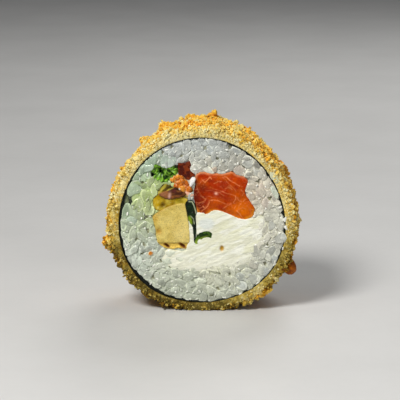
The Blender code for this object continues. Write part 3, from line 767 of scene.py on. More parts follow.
def salmon_finish():
    """Raw salmon: deep orange red with a web of fine pale fibres, wet."""
    f = Finish("salmon", Specular_IOR_Level=0.12)
    web = None
    for size, turn, stretch, width, keep in (
        (2.2, 35, 2.6, 0.022, 0.52), (1.7, -40, 3.0, 0.03, 0.52), (1.4, 80, 2.2, 0.03, 0.56),
    ):
        bent = f.mapped((0, turn, 0), (stretch, 3.0, 1.0), warp=0.5, warp_size=2.2)
        off = f.math("ABSOLUTE", f.math("SUBTRACT", f.noise(size, 1.0, 0.4, bent), 0.5), 0.0)
        line = f.span(off, 0.0, width, 1.0, 0.0)
        line = f.math("MULTIPLY", line, f.span(f.noise(size * 0.8, 2.0), keep, keep + 0.08))
        web = line if web is None else f.math("MAXIMUM", web, line)
    colour = f.shaded(f.colour(), f.clouded(0.8, 1.15, 1.6, 4.0, 0.6))
    colour = f.mix(f.math("MULTIPLY", web, 0.35), colour, screen(240, 140, 90))
    return f.finished(colour, f.clouded(0.18, 0.42, 0.8), (f.noise(0.7, 4.0, 0.6), 0.09), (web, 0.05))


def soft_finish(name, gloss, cloud_size, depth, cloudy=(0.82, 1.12), **constants):
    """A moist food surface: the painted tint, clouded, with a fine uneven skin."""
    f = Finish(name, **constants)
    colour = f.shaded(f.colour(), f.clouded(*cloudy, cloud_size, 4.0, 0.65))
    fine = f.noise(cloud_size * 0.3, 3.0, 0.6)
    return f.finished(colour, f.clouded(gloss, gloss + 0.25, cloud_size * 0.8),
                      (f.noise(cloud_size, 4.0, 0.6), depth), (fine, depth * 0.4))


def omelette_finish():
    """Set egg: mottled yellow, fine pores all over."""
    f = Finish("omelette", Specular_IOR_Level=0.35)
    pores = f.voronoi(0.42, f.mapped(warp=0.2, warp_size=0.6))
    shade = f.math("MULTIPLY", f.span(pores, 0.08, 0.42, 0.6, 1.08), f.clouded(0.85, 1.1, 1.2, 5.0, 0.7))
    return f.finished(f.shaded(f.colour(), shade), f.clouded(0.42, 0.7, 0.5), (pores, 0.08),
                      (f.noise(0.3, 4.0, 0.65), 0.06))


def cheese_finish():
    """Cream cheese: dense and creamy, dragged by the knife."""
    f = Finish("cream_cheese", Specular_IOR_Level=0.4)
    drag = f.noise(0.5, 5.0, 0.65, f.mapped((0, 24, 0), (4.5, 2.0, 1.0), warp=0.35, warp_size=2.0))
    colour = f.shaded(f.colour(), f.span(drag, 0.3, 0.7, 0.9, 1.05))
    return f.finished(colour, f.span(drag, 0.3, 0.7, 0.35, 0.6), (drag, 0.18), (f.noise(0.3, 3.0, 0.6), 0.03))


def roe_finish():
    """Fish roe: orange eggs, each painted lighter round its sides as painted light through its clear skin,
    darker in the middle.
    """
    f = Finish("roe", Specular_IOR_Level=0.3, Coat_Weight=0.15, Coat_Roughness=0.15)
    colour = f.shaded(f.colour(), f.clouded(0.8, 1.15, 0.6))
    return f.finished(colour, f.clouded(0.12, 0.3, 0.4), (f.noise(0.3), 0.02))


# The crust

def smooth_table(table, at):
    """Values of a table of (place, value), eased between its places."""
    places, numbers = (np.array(column, dtype=float) for column in zip(*table))
    low = np.clip(np.searchsorted(places, at, side="right") - 1, 0, len(places) - 2)
    share = smoothstep((at - places[low]) / (places[low + 1] - places[low]))
    return between(numbers[low], numbers[low + 1], share)


def nori_outer(degrees):
    """Radius of the nori ring's outer side."""
    return NORI_RADIUS + sum(
        size * np.cos(np.radians(order * degrees - phase)) for order, size, phase in NORI_HARMONICS
    )


def turn_between(degrees, angle):
    """The signed turn from angle to degrees."""
    return (degrees - angle + 180) % 360 - 180


def near_turn(degrees, angle, spread):
    """1 at one angle round the axis, falling softly to 0."""
    return np.exp(-(turn_between(degrees, angle) / spread) ** 2)


def clump_height(degrees, y):
    """How far the clumps of crumbs stand out."""
    total = np.zeros(len(degrees))
    for angle, place, high, spread in CLUMPS:
        around = np.radians(turn_between(degrees, angle)) * NORI_RADIUS
        total += high * np.exp(-(around ** 2 + (y - place) ** 2) / spread ** 2)
    return total


def foot_rough(degrees):
    """0 over the foot, 1 away from it."""
    return smoothstep((np.abs(turn_between(degrees, 270)) - FOOT_HALF_ANGLE) / FOOT_BLEND)


def crust_outer(degrees, y):
    """Radius of the crust's outer side, with its crags and clumps."""
    upper = smoothstep(0.5 + np.sin(np.radians(degrees)))
    base = smooth_table(CRUST_THICK, degrees) - BACK_TAPER * upper * smoothstep((y + 4) / (HALF + 4))
    x, z = NORI_RADIUS * np.cos(np.radians(degrees)), NORI_RADIUS * np.sin(np.radians(degrees))
    places = np.stack([x, z, y], axis=1)
    fine = np.array([noise.noise(p) for p in (0.75 * places).tolist()])
    coarse = np.array([noise.noise(p) for p in (0.22 * places + (7, 0, 0)).tolist()])
    thick = base + clump_height(degrees, y) + foot_rough(degrees) * (CRAG * fine + SWELL * coarse)
    return nori_outer(degrees) + np.maximum(CRUST_LEAST, thick)


def crust_grid():
    """Points of the crust's ring, the way each faces, and how far out it lies from nori to outer side."""
    face = np.linspace(0, 1, FACE_ROWS)[:-1]
    outer = np.linspace(-HALF, HALF, CRUST_ROWS)
    inner = CRUST_INNER_ROWS
    reach = np.concatenate([face, np.ones(CRUST_ROWS), face[::-1], np.zeros(len(inner))])
    rest_y = np.concatenate([np.full(len(face), -HALF), outer, np.full(len(face), HALF), inner])
    degrees = np.repeat(np.arange(CRUST_AROUND) * 360 / CRUST_AROUND, len(reach))
    reach, rest_y = np.tile(reach, CRUST_AROUND), np.tile(rest_y, CRUST_AROUND)
    near_face = smoothstep((np.abs(rest_y) - HALF + EDGE_REACH) / EDGE_REACH)
    low = nori_outer(degrees) + 0.04
    high = crust_outer(degrees, rest_y) - EDGE_ROUND * near_face
    radius = low + (high - low) * reach
    side = np.sign(rest_y) * (np.abs(rest_y) > HALF - 0.01)
    bulge = 0.18 * np.sin(math.pi * reach) - 0.3 * reach ** 6
    y = rest_y + side * bulge
    lean = np.where(side != 0, 45 * smoothstep((reach - 0.55) / 0.45), 90.0)
    lean = np.where((side == 0) & (reach == 1), 90 - 45 * near_face, lean)
    out, along = np.sin(np.radians(lean)), np.cos(np.radians(lean)) * np.sign(rest_y)
    across, up = np.cos(np.radians(degrees)), np.sin(np.radians(degrees))
    points = np.stack([radius * across, y, radius * up], axis=1)
    facing = np.stack([out * across, along, out * up], axis=1)
    return degrees, reach, rest_y, points, facing


def toasting(degrees, reach, rest_y, points):
    """How brown the crust is, from the pale cut section near the nori to the toasted clumps."""
    inward = HALF - np.abs(rest_y)
    outside = smoothstep((reach - 0.78) / 0.22)
    outside *= 1 - between(0.42, 0.62, near_turn(degrees, 138, 30)) * np.exp(-(inward / 3.6) ** 2)
    patches = 0.12 * rough(points, 5.0, 40, 2) + 0.11 * rough(points, 1.5, 44, 2)
    clumps = 0.22 * np.clip(clump_height(degrees, rest_y) / 1.5, 0, 1)
    surface = 0.42 + patches + clumps + 0.14 * near_turn(degrees, 308, 10)
    deeper = smoothstep((inward - 1) / 5)
    # Browner away from the cut faces where the crust is painted darker lower down: partly oil, partly painted
    # shade
    surface += deeper * (0.07 + 0.1 * smoothstep((0.9 - smooth_table(DRYNESS, degrees)) / 0.6))
    surface -= 0.14 * near_turn(degrees, 140, 24)
    streaks = 0.14 * rough(points * (1, 0.4, 1), 0.9, 52, 2)
    section = 0.12 + 0.7 * patches + streaks
    section += 0.04 * near_turn(degrees, 50, 40) - 0.1 * near_turn(degrees, 90, 45)
    return between(np.clip(section, 0.01, 1), surface, outside)


def dryness(points):
    """1 over the top, less lower down, where the crust is painted darker: partly browned in oil, partly
    painted shade.
    """
    degrees = np.degrees(np.arctan2(points[:, 2], points[:, 0])) % 360
    dry = smooth_table(DRYNESS, degrees)
    away = smoothstep((HALF - np.abs(points[:, 1]) - 0.5) / 4)
    dry = np.maximum(dry, between(dry, DRY_OUTSIDE, away))
    return np.clip(dry + 0.16 * rough(points, 3.0, 47, 2) + 0.2 * rough(points, 1.1, 49, 2), 0, 1)


def make_crust():
    """The crumb coat: the ring itself, granular all over, then loose and clustered crumbs on it."""
    finish = crust_finish()
    degrees, reach, rest_y, points, facing = crust_grid()
    near, tiny = pebbles(points, 1.1, 60), pebbles(points, 0.55, 66)
    cut_face = smoothstep((0.99 - reach) / 0.2)
    grain_high = between(0.5, 0.22, cut_face) * (0.55 - near) + between(0.2, 0.3, cut_face) * (0.5 - tiny)
    loose = np.where(reach < 0.05, 0.0, 1.0) * between(0.8, 1.0, smoothstep((reach - 0.4) / 0.4))
    loose *= between(0.35, 1.0, foot_rough(degrees))
    points = points + facing * (grain_high * loose)[:, None]
    points[:, 2] = np.maximum(points[:, 2], -AXIS_HEIGHT)
    fry = toasting(degrees, reach, rest_y, points)
    # Darker paint in the pits between the granules: painted shade
    pit = smoothstep((near - 0.42) / 0.35) * between(0.5, 1.0, smoothstep(reach))
    pit = np.maximum(pit * (1 - 0.5 * cut_face), 0.5 * cut_face * smoothstep((tiny - 0.5) / 0.3))
    faces = grid_faces(CRUST_AROUND, len(points) // CRUST_AROUND)
    add_piece("crust_base", points, [faces[:, ::-1]], finish, ("crust",),
              values={"fry": fry, "pit": pit, "dry": dryness(points)})
    draw = np.random.default_rng(SEED)
    outer, section = reach >= ON_OUTSIDE, np.abs(rest_y) > CUT_FROM
    chance = np.where(outer, 1.0, 1.1 * smoothstep((reach - 0.25) / 0.4))
    chance *= (np.abs(turn_between(degrees, 270)) > FOOT_HALF_ANGLE - 5) | ~outer
    chance *= 1 + 2.0 * np.clip(clump_height(degrees, rest_y), 0, 1.5)
    chance *= 1 + 0.5 * rough(points, 2.2, 71, 2)
    chance = np.clip(chance, 0, None)
    weights = {
        "fine_crumbs": np.where(outer, 0.7 * chance, 2.2 * ((reach > 0.08) & section)),
        "crumbs": np.where(outer, chance, chance * (1 - near_turn(degrees, 150, 42)) * section),
        "large_crumbs": chance * outer,
    }
    for name, count, subdivisions, sizes in CRUMBS:
        share = weights[name] / weights[name].sum()
        at = draw.choice(len(points), size=count, replace=False, p=share)
        scatter_crumbs(name, points[at], facing[at], fry[at], draw, subdivisions, sizes, finish)


def scatter_crumbs(name, at, facing, fry, draw, subdivisions, sizes, finish):
    """Jagged crumbs in one mesh, each with its own shape, turn and browning."""
    template, faces = ball(subdivisions)
    count = len(at)
    size = draw.uniform(*sizes, count)
    scale = draw.uniform(0.6, 1.15, (count, 3))
    long = draw.random(count) < 0.3
    scale[long, 0] *= 1.8
    jagged = draw.uniform(0.55, 1.5, (count, len(template), 1))
    shape = template[None] * jagged * scale[:, None] * size[:, None, None]
    shape = np.einsum("nij,nkj->nki", random_turns(draw, count), shape)
    lift = size * draw.uniform(-0.1, 0.7, count)
    points = at[:, None] + facing[:, None] * lift[:, None, None] + shape
    points[..., 2] = np.maximum(points[..., 2], -AXIS_HEIGHT)
    own = fry + draw.normal(0, 0.1, count)
    pale = draw.random(count)
    own = np.where(pale < 0.2, own - 0.2, np.where(pale > 0.93, own + 0.2, own))
    tip = np.einsum("nkj,nj->nk", shape, facing) / size[:, None]
    # Each crumb's own share of the painted dryness and light: a fifth of them stand out lighter from the
    # painted shade round them
    drier = np.where(draw.random(count) < 0.2, 0.5, draw.uniform(-0.25, 0.2, count))
    values = {
        "fry": np.clip(own[:, None] - 0.1 * tip, 0, 1).ravel(),
        # Each crumb is painted darker on its underside, towards the crust: painted shade
        "pit": np.clip(0.1 - 1.0 * tip, 0, 1).ravel(),
        "dry": np.clip(dryness(points.reshape(-1, 3)) + np.repeat(drier, len(template)), 0, 1),
    }
    add_piece(name, points.reshape(-1, 3), [repeated(faces, count, len(template))], finish,
              smooth=False, values=values)


def make_drop():
    """A drop of batter that ran down and browned, fuller below."""
    unit, faces = ball(5)
    taper = 1 - DROP_TAPER * unit[:, 2:]
    lumpy = 1 + 0.07 * rough(unit * 2.0, 1.1, 5, 2)[:, None]
    angle, radius, y = DROP_PLACE
    place = (radius * math.cos(math.radians(angle)), y, radius * math.sin(math.radians(angle)))
    shape = unit * lumpy * DROP_SIZE * np.concatenate([taper, taper, np.ones_like(taper)], axis=1)
    add_piece("batter_drop", place + shape, [faces], drop_finish())


# The nori

def lap_inset(degrees):
    """How far the sheet's inner end lies inside the ring."""
    return LAP_STEP * (1 - smoothstep((degrees - LAP_TO) / LAP_BLEND))


def nori_thick(degrees):
    """The sheet's uneven thickness, greater where it is creased."""
    turn = np.radians(degrees)
    around = np.stack([np.cos(turn), np.sin(turn), 0 * turn], axis=1) * NORI_RADIUS
    creased = sum(thicker * near_turn(degrees, angle, spread) for angle, spread, thicker in NORI_CREASES)
    return (NORI_SHEET + creased) * np.clip(1 + 0.6 * rough(around, 2.2, 91, 3), 0.35, 2)


def rice_ring():
    """The loop that the rice fills, pressed against the inner side of the nori."""
    degrees = np.arange(0, 360, 0.5)
    past = (degrees - LAP_FROM) % 360
    before_lap = smoothstep((past - 360 + LAP_APPROACH) / LAP_APPROACH)
    inset = np.maximum(lap_inset(LAP_FROM + past), LAP_STEP * before_lap)
    radius = nori_outer(degrees) - nori_thick(degrees) - inset - 0.03
    turn = np.radians(degrees)
    return np.stack([radius * np.cos(turn), radius * np.sin(turn)], axis=1)


def make_nori():
    """One sheet rolled round the rice, its cut edges a little ragged."""
    degrees = np.linspace(LAP_FROM, LAP_TO + 360, NORI_STEPS)
    turn = np.radians(degrees)
    outer = nori_outer(degrees) - lap_inset(degrees)
    thick = nori_thick(degrees)
    # Round the sheet's own section: how far in, which end, how far it stands out there
    profile = (
        (0, -1, 0.0), (0, 0, 0.0), (0, 1, 0.0), (0.5, 1, 0.06),
        (1, 1, 0.0), (1, 0, 0.0), (1, -1, 0.0), (0.5, -1, 0.06),
    )
    rings = []
    for k, (share, end, proud) in enumerate(profile):
        along = np.stack([outer * turn, np.full(NORI_STEPS, 7.0 * end), np.full(NORI_STEPS, 0.4 * k)], axis=1)
        ragged = 0.10 * rough(along, 1.3, 80) + 0.05 * rumple(along, 0.35, 84)
        radius = outer - thick * share + 0.05 * rough(along * (1, 1, 0), 1.8, 88, 2)
        y = end * (HALF + proud - 0.05 + ragged)
        rings.append(np.stack([radius * np.cos(turn), y, radius * np.sin(turn)], axis=1))
    points = np.stack(rings, axis=1).reshape(-1, 3)
    faces = grid_faces(NORI_STEPS, len(profile))[:-len(profile)]
    ends = np.array([range(len(profile)), range(len(points) - 1, len(points) - 1 - len(profile), -1)])
    add_piece("nori_sheet", points, [faces[:, ::-1], ends], nori_finish(), ("nori",))


# The rice

# Its colour here and there, the green partly painted light from the green fillings: place, spread, colour
RICE_TINTS = (
    (-17.5, 9.0, 5.0, (184, 204, 124)), (-15.0, 3.0, 4.5, (188, 202, 132)),
    (-19.0, 15.0, 4.0, (172, 196, 174)), (-21.5, 2.0, 3.5, (180, 196, 168)),
    (0.0, 22.0, 7.0, (196, 202, 198)), (13.0, 19.0, 6.0, (190, 188, 174)), (17.5, 8.0, 4.5, (234, 222, 200)),
    (22.0, 3.0, 4.5, (226, 226, 208)), (0.0, 17.0, 4.0, (226, 224, 204)), (19.0, -12.0, 5.0, (218, 220, 204)),
    (15.5, -9.5, 2.6, (240, 240, 222)), (20.5, -4.0, 4.0, (222, 220, 202)),
    (9.0, -19.0, 6.0, (208, 214, 194)), (-6.0, -19.0, 6.0, (206, 214, 192)),
    (-17.0, -10.0, 6.0, (212, 222, 206)), (-19.0, -3.0, 4.0, (198, 210, 174)),
    (3.0, -15.0, 4.0, (240, 240, 212)), (9.0, -15.5, 4.0, (242, 242, 216)),
    (-12.0, -13.0, 4.0, (230, 236, 212)),
)
GREY, CREAM, BLUISH = screen(204, 208, 200), screen(226, 222, 202), screen(200, 208, 206)
CELADON, GREEN, DIM = screen(202, 224, 202), screen(214, 230, 166), screen(132, 158, 122)
PINK, AMBER, WHITE = screen(228, 210, 194), screen(204, 162, 124), screen(246, 244, 230)

# Whole grains of the front that can be told apart: place, half length, half width, turn, colour
PLACED_GRAINS = (
    (23.7, -5.4, 2.1, 1.5, 15, GREY), (19.1, -2.3, 2.2, 1.6, 70, CREAM), (17.9, -6.7, 2.2, 1.6, 60, CREAM),
    (21.2, -9.2, 2.1, 1.5, 45, GREY), (22.5, -12.0, 1.9, 1.2, 60, BLUISH),
    (16.3, -13.6, 2.0, 1.4, -20, CREAM), (11.7, -17.7, 2.0, 1.6, 25, BLUISH),
    (15.4, -18.3, 2.2, 1.6, 30, GREY), (12.3, -20.5, 2.5, 1.3, 0, BLUISH),
    (19.1, -16.4, 2.4, 1.1, 32, BLUISH), (21.5, -1.6, 1.6, 1.2, 80, GREY), (15.1, -9.2, 1.8, 1.3, 75, CREAM),
    (6.5, 17.6, 2.2, 1.4, 65, CREAM), (6.2, 20.7, 2.2, 1.4, 8, GREY), (10.5, 22.0, 2.3, 1.5, -22, BLUISH),
    (13.9, 18.8, 2.3, 1.8, 30, GREY), (2.2, 22.0, 2.0, 1.2, -15, BLUISH), (2.2, 18.8, 1.8, 1.3, 40, CREAM),
    (11.7, 16.0, 1.9, 1.3, -35, PINK), (18.2, 9.4, 2.4, 1.5, 80, PINK), (20.0, 12.0, 2.0, 1.3, 60, CREAM),
    (19.7, 5.3, 2.2, 1.4, 70, PINK), (22.6, 9.6, 2.1, 1.3, 105, CELADON), (17.2, 15.1, 2.0, 1.3, -20, GREY),
    (-1.8, 16.6, 1.9, 1.3, 35, WHITE), (3.9, 16.2, 0.9, 0.8, 60, AMBER), (-20.5, 10.3, 2.5, 1.7, 55, CELADON),
    (-17.4, 7.8, 2.7, 1.2, 85, GREEN), (-14.6, 9.6, 2.2, 0.9, 100, GREEN), (-16.0, 12.0, 2.2, 1.0, 60, GREEN),
    (-19.3, 4.7, 2.4, 1.3, 80, GREEN), (-16.6, 3.0, 1.9, 1.4, 60, GREEN),
    (-11.5, 18.4, 2.2, 1.3, 50, CELADON), (-9.2, 19.6, 2.4, 1.3, 72, CELADON),
    (-13.4, 21.0, 2.0, 1.4, 50, CELADON), (-17.7, 16.3, 2.6, 1.5, 35, CELADON),
    (-19.9, 14.1, 1.8, 1.0, 40, DIM), (-7.3, 21.6, 2.1, 1.3, 60, GREY), (-4.8, 22.9, 2.2, 1.4, 80, GREY),
    (-1.8, 23.2, 1.8, 1.2, 40, BLUISH), (-23.6, 2.8, 2.1, 1.3, 60, DIM), (-21.7, -0.4, 2.0, 1.2, 30, CELADON),
)

# Small gaps between the grains, their core painted dark as painted shade
PITS = (
    (0.1, -14.9), (14.8, -10.9), (19.4, -13.3), (8.7, -16.7), (8.7, -20.2), (2.8, -24.0), (20.0, -7.4),
    (-16.8, -3.5), (-17.9, -7.8), (-18.3, -10.8), (-12.5, -12.7), (-15.1, -18.3), (13.1, 16.9), (21.0, 7.3),
    (-17.2, 0.9), (-20.4, -6.2), (-9.6, -14.6), (5.1, -21.6), (17.2, 12.6), (4.8, 19.3),
    (20.2, 15.1), (1.0, 22.9), (8.7, 22.9), (-11.8, 21.4), (-6.4, 20.4), (-9.1, 23.0), (-18.4, 12.0),
)
PIT_SIZE = 0.46
# How far the gaps are turned at the back
BACK_TURN = 35.0
MILKY = screen(254, 254, 244)


def rice_tint(places):
    """Colour of the rice over the face: bluer by the nori, greener and creamier by the fillings, the green
    partly painted light from them.
    """
    weights = np.stack([spot(places, x, z, size) + 1e-4 for x, z, size, _ in RICE_TINTS], axis=1)
    colours = np.array([screen(*colour) for *_, colour in RICE_TINTS])
    return (weights @ colours) / weights.sum(axis=1, keepdims=True)


def pit_share(places):
    """1 in the dark recess on the left, beside the nori."""
    degrees = np.degrees(np.arctan2(places[:, 2], places[:, 0]))
    radius = np.hypot(places[:, 0], places[:, 2])
    around = smoothstep((11 - np.abs(turn_between(degrees, 160))) / 4)
    return around * smoothstep((radius - 21.5) / 0.8)


def pit_away(flat, side):
    """How far each point lies from the ragged edge of the nearest small dark gap."""
    pits = np.stack(rotated(*np.array(PITS).T, math.radians(BACK_TURN if side > 0 else 0.0)), axis=1)
    away = np.linalg.norm(flat[:, None] - pits, axis=2).min(axis=1)
    return away - PIT_SIZE * (1 + 1.0 * rumple(on_face(flat, side), 0.5, 99))


def thrown(region, draw, darts, spacing, depth, side, taken=None):
    """Places for grains over one face and the room of each, thrown at random but never too close."""
    flat = draw.uniform(-NORI_RADIUS, NORI_RADIUS, (darts, 2))
    flat = flat[(region.depth(flat) > depth) & ~within(flat, node_section("rice")[1])]
    flat = flat[(pit_share(on_face(flat, side)) < 0.5) & (pit_away(flat, side) > 0.45)]
    room = spacing * draw.uniform(0.65, 1.35, len(flat))
    kept = []
    if taken is not None:
        flat, room = np.concatenate([taken[0], flat]), np.concatenate([taken[1], room])
        kept = list(range(len(taken[0])))
    for i, dart in enumerate(flat[len(kept):], len(kept)):
        if not kept or np.all(np.linalg.norm(flat[kept] - dart, axis=1) > (room[kept] + room[i]) / 2):
            kept.append(i)
    return flat[kept], room[kept]


def grain_spokes(long, wide, turn):
    """Each grain's spokes out to its oval outline."""
    x, z = np.cos(SPOKE_TURNS) * long[:, None], np.sin(SPOKE_TURNS) * wide[:, None]
    return np.stack(rotated(x, z, turn[:, None]), axis=2)


def grain_outlines(region, side, middles, long, wide, turn, pressed):
    """Each grain's reach along its spokes, stopped at the region's edge, at the dark gaps and, if
    pressed, where it meets its neighbours, which flatten each other."""
    count = len(middles)
    shares = np.linspace(0.2, 1.4 if pressed else 1.1, 31)
    world = grain_spokes(long, wide, turn)
    probes = middles[:, None, None] + shares[None, None, :, None] * world[:, :, None]
    spread = probes.reshape(-1, 2)
    stopped = ((region.depth(spread) < -0.05) | (pit_away(spread, side) < 0)).reshape(probes.shape[:3])
    if pressed:
        apart = np.linalg.norm(middles[:, None] - middles[None], axis=2)
        for near in np.argsort(apart, axis=1)[:, 1:NEIGHBOURS].T:
            away = probes - middles[near][:, None, None]
            its_long, its_wide, its_turn = (part[near][:, None, None] for part in (long, wide, turn))
            along, across = rotated(away[..., 0], away[..., 1], -its_turn)
            stopped |= np.hypot(along / its_long, across / its_wide) < shares
    stopped[..., -1] = True
    reaches = shares[np.argmax(stopped, axis=2)]
    circle_x, circle_z = 2.2 * np.cos(SPOKE_TURNS), 2.2 * np.sin(SPOKE_TURNS)
    broken = np.stack([np.repeat(np.arange(count) * 7.3, GRAIN_SPOKES), np.tile(circle_x, count),
                       np.tile(circle_z, count)], axis=1)
    uneven = (0.1 * rumple(broken, 1.2, 31) + 0.08 * rumple(broken, 0.6, 32)).reshape(reaches.shape)
    reaches = reaches * (0.98 + uneven * (0.6 if pressed else 1.2))
    return (np.roll(reaches, 1, axis=1) + 5 * reaches + np.roll(reaches, -1, axis=1)) / 7


def grain_points(side, middles, long, wide, turn, reaches, top, lean, dome):
    """Grains as (grain, point, xyz), their tops leaning and domed, and how far each point is skin and painted
    glow.
    """
    count = len(middles)
    world = grain_spokes(long, wide, turn) * reaches[..., None]
    shares, falls = np.array(((0.0, 0.0),) + GRAIN_PROFILE + ((0.0, GRAIN_DEEP),)).T
    off = shares[None, :, None, None] * world[:, None]
    high = top[:, None, None] - falls[None, :, None] - dome[:, None, None] * shares[None, :, None] ** 2
    high = high + lean[:, 0, None, None] * off[..., 0] + lean[:, 1, None, None] * off[..., 1]
    flat = (middles[:, None, None] + off).reshape(-1, 2)
    high += 0.05 * rough(on_face(flat, side), 0.8, 34, 2).reshape(high.shape)
    x, z = flat.T.reshape(2, *high.shape)
    places = np.stack([x, side * (HALF + high), z], axis=-1)
    # The rims are painted lighter on one side of each grain: painted light
    lit = 0.5 + 0.5 * smoothstep(0.55 + 0.8 * np.cos(SPOKE_TURNS + 37.0 * middles[:, :1]))
    from_share = 0.7 + 0.14 * np.sin(23.0 * middles[:, 1] + 5.0 * middles[:, 0])
    strong = 0.7 + 0.3 * np.sin(31.0 * middles[:, 0] + 17.0 * middles[:, 1])
    rim = smoothstep((shares[None] - from_share[:, None]) / 0.2)
    skin = rim[..., None] * (strong[:, None] * lit)[:, None]
    picked = []
    for values in (places, skin[..., None]):
        rings = values[:, 1:-1].reshape(count, -1, values.shape[-1])
        picked.append(np.concatenate([values[:, 0, :1], rings, values[:, -1, :1]], axis=1))
    return picked[0], picked[1][..., 0]


def grain_faces(side):
    """Triangles and quads of one grain: a fan, rings, and a fan below."""
    rows = len(GRAIN_PROFILE)
    k = np.arange(GRAIN_SPOKES)
    after = np.roll(k, -1)
    last = 1 + rows * GRAIN_SPOKES
    fan = np.stack([np.zeros_like(k), 1 + after, 1 + k], axis=1)
    below = np.stack([np.full_like(k, last), last - GRAIN_SPOKES + k, last - GRAIN_SPOKES + after], axis=1)
    triangles, quads = np.concatenate([fan, below]), grid_faces(rows, GRAIN_SPOKES)[:-GRAIN_SPOKES] + 1
    if side > 0:
        triangles, quads = triangles[:, ::-1], quads[:, ::-1]
    return triangles, quads


# Odd grains: place, half length, half width, turn, height over the cut and colour. They lie among
# the fillings, then over the nori on the right, over the edge of the cheese, as thin bits over the
# nori, and last, dark green, in the recess on the left: partly the nori's green, partly painted shade
ODD_GRAINS = (
    (-2.9, 12.5, 1.6, 0.75, 66, 1.15, (255, 248, 246)), (-3.8, 8.3, 1.4, 0.75, -22, 0.3, (232, 176, 144)),
    (-4.3, 6.9, 1.2, 0.6, -30, 0.0, (130, 112, 40)), (-6.7, 9.9, 0.5, 0.4, 80, 0.35, (222, 214, 190)),
    (-8.6, 11.4, 1.3, 0.7, 60, -0.1, (206, 222, 150)), (21.9, 14.3, 1.9, 1.0, 122, 0.3, (214, 216, 180)),
    (23.0, 12.9, 1.2, 0.8, 110, 0.28, (206, 210, 172)), (25.1, -5.4, 1.7, 1.2, 75, 0.3, (206, 210, 200)),
    (25.6, 0.6, 0.9, 0.5, 70, 0.3, (240, 242, 236)), (25.9, -2.0, 0.8, 0.45, 110, 0.3, (240, 242, 236)),
    (18.2, -1.4, 1.8, 1.0, 55, 0.2, (238, 236, 218)), (16.4, -4.9, 1.9, 1.0, 42, 0.12, (240, 239, 220)),
    (18.0, -7.6, 1.7, 1.1, 60, 0.2, (234, 234, 214)), (14.9, -10.0, 1.9, 1.0, 30, 0.12, (238, 238, 218)),
    (12.8, -13.0, 1.8, 1.0, 15, 0.14, (240, 240, 220)), (9.6, -14.9, 1.7, 1.0, 35, 0.14, (240, 240, 220)),
    (5.6, -14.4, 1.6, 1.0, -15, 0.12, (244, 244, 224)), (1.0, -13.4, 1.7, 1.0, 10, 0.14, (242, 243, 222)),
    (-3.2, -12.6, 1.7, 0.9, 25, 0.14, (240, 242, 222)), (-6.7, -12.4, 1.7, 1.0, -30, 0.18, (224, 228, 206)),
    (-9.7, -10.5, 1.7, 1.0, 20, 0.2, (224, 230, 208)), (-12.4, -10.2, 1.6, 1.1, 70, 0.2, (220, 228, 206)),
    (-10.6, -12.9, 1.8, 1.1, -20, 0.2, (216, 224, 202)), (25.0, -8.6, 0.7, 0.3, 80, 0.15, (236, 238, 228)),
    (22.6, -13.6, 0.8, 0.3, 55, 0.15, (236, 238, 228)), (17.4, -19.6, 0.9, 0.3, 42, 0.12, (232, 234, 224)),
    (11.8, -23.3, 0.8, 0.3, 24, 0.12, (232, 234, 224)), (-4.6, -25.3, 0.7, 0.25, -10, 0.1, (222, 224, 210)),
    (-23.0, 9.4, 1.9, 1.0, 70, -0.45, (84, 98, 56)), (-23.4, 6.4, 1.5, 1.0, 95, -0.35, (104, 116, 74)),
    (-22.4, 12.0, 1.5, 0.8, 60, -0.4, (92, 112, 84)), (-21.9, 7.6, 1.3, 0.8, 80, -0.5, (66, 84, 44)),
)


def packed_grains(region, side, draw):
    """Grains in three layers: loose, cut flat by the knife and pressed together, and lying on top."""
    rows = PLACED_GRAINS if side < 0 else ()
    placed = np.array([row[:5] for row in rows]).reshape(-1, 5)
    first = len(placed)
    made, skins, tints = [], [], []
    for layer, (spacing, low, high, pressed) in enumerate(GRAIN_LAYERS):
        taken = (placed[:, :2], 1.35 * np.sqrt(placed[:, 2] * placed[:, 3])) if pressed else None
        inset = 0.5 + 0.6 * (layer == ON_TOP)
        middles, _ = thrown(region, draw, GRAIN_DARTS, spacing, inset, side, taken)
        count = len(middles)
        long, wide = draw.uniform(1.5, 2.6, count), draw.uniform(0.75, 1.2, count)
        turn, top = draw.uniform(0, math.pi, count), draw.uniform(low, high, count)
        domed = draw.random(count) < 0.25
        dome = np.where(domed, draw.uniform(0.1, 0.26, count), draw.uniform(-0.04, 0.06, count))
        tone = draw.normal(1.0, 0.1, (count, 1)) + 0.24 * (draw.random((count, 1)) < 0.16)
        tint = rice_tint(on_face(middles, side))
        if pressed and first:
            long[:first], wide[:first], turn[:first] = placed[:, 2], placed[:, 3], np.radians(placed[:, 4])
            tint[:first] = 0.45 * tint[:first] + 0.55 * np.array([row[5] for row in rows])
            tone[:first] = 1 + 0.4 * (tone[:first] - 1)
            top[:first] = draw.uniform(0.08, 0.22, first)
        if layer == ON_TOP:
            long, wide, dome = 0.8 * long, 0.85 * wide, dome + 0.2
        reaches = grain_outlines(region, side, middles, long, wide, turn, pressed)
        lean = draw.normal(0, 0.13, (count, 2))
        points, skin = grain_points(side, middles, long, wide, turn, reaches, top, lean, dome)
        made.append(points)
        skins.append(skin)
        tints.append(tint * tone)
    return np.concatenate(made), np.concatenate(skins), np.concatenate(tints)


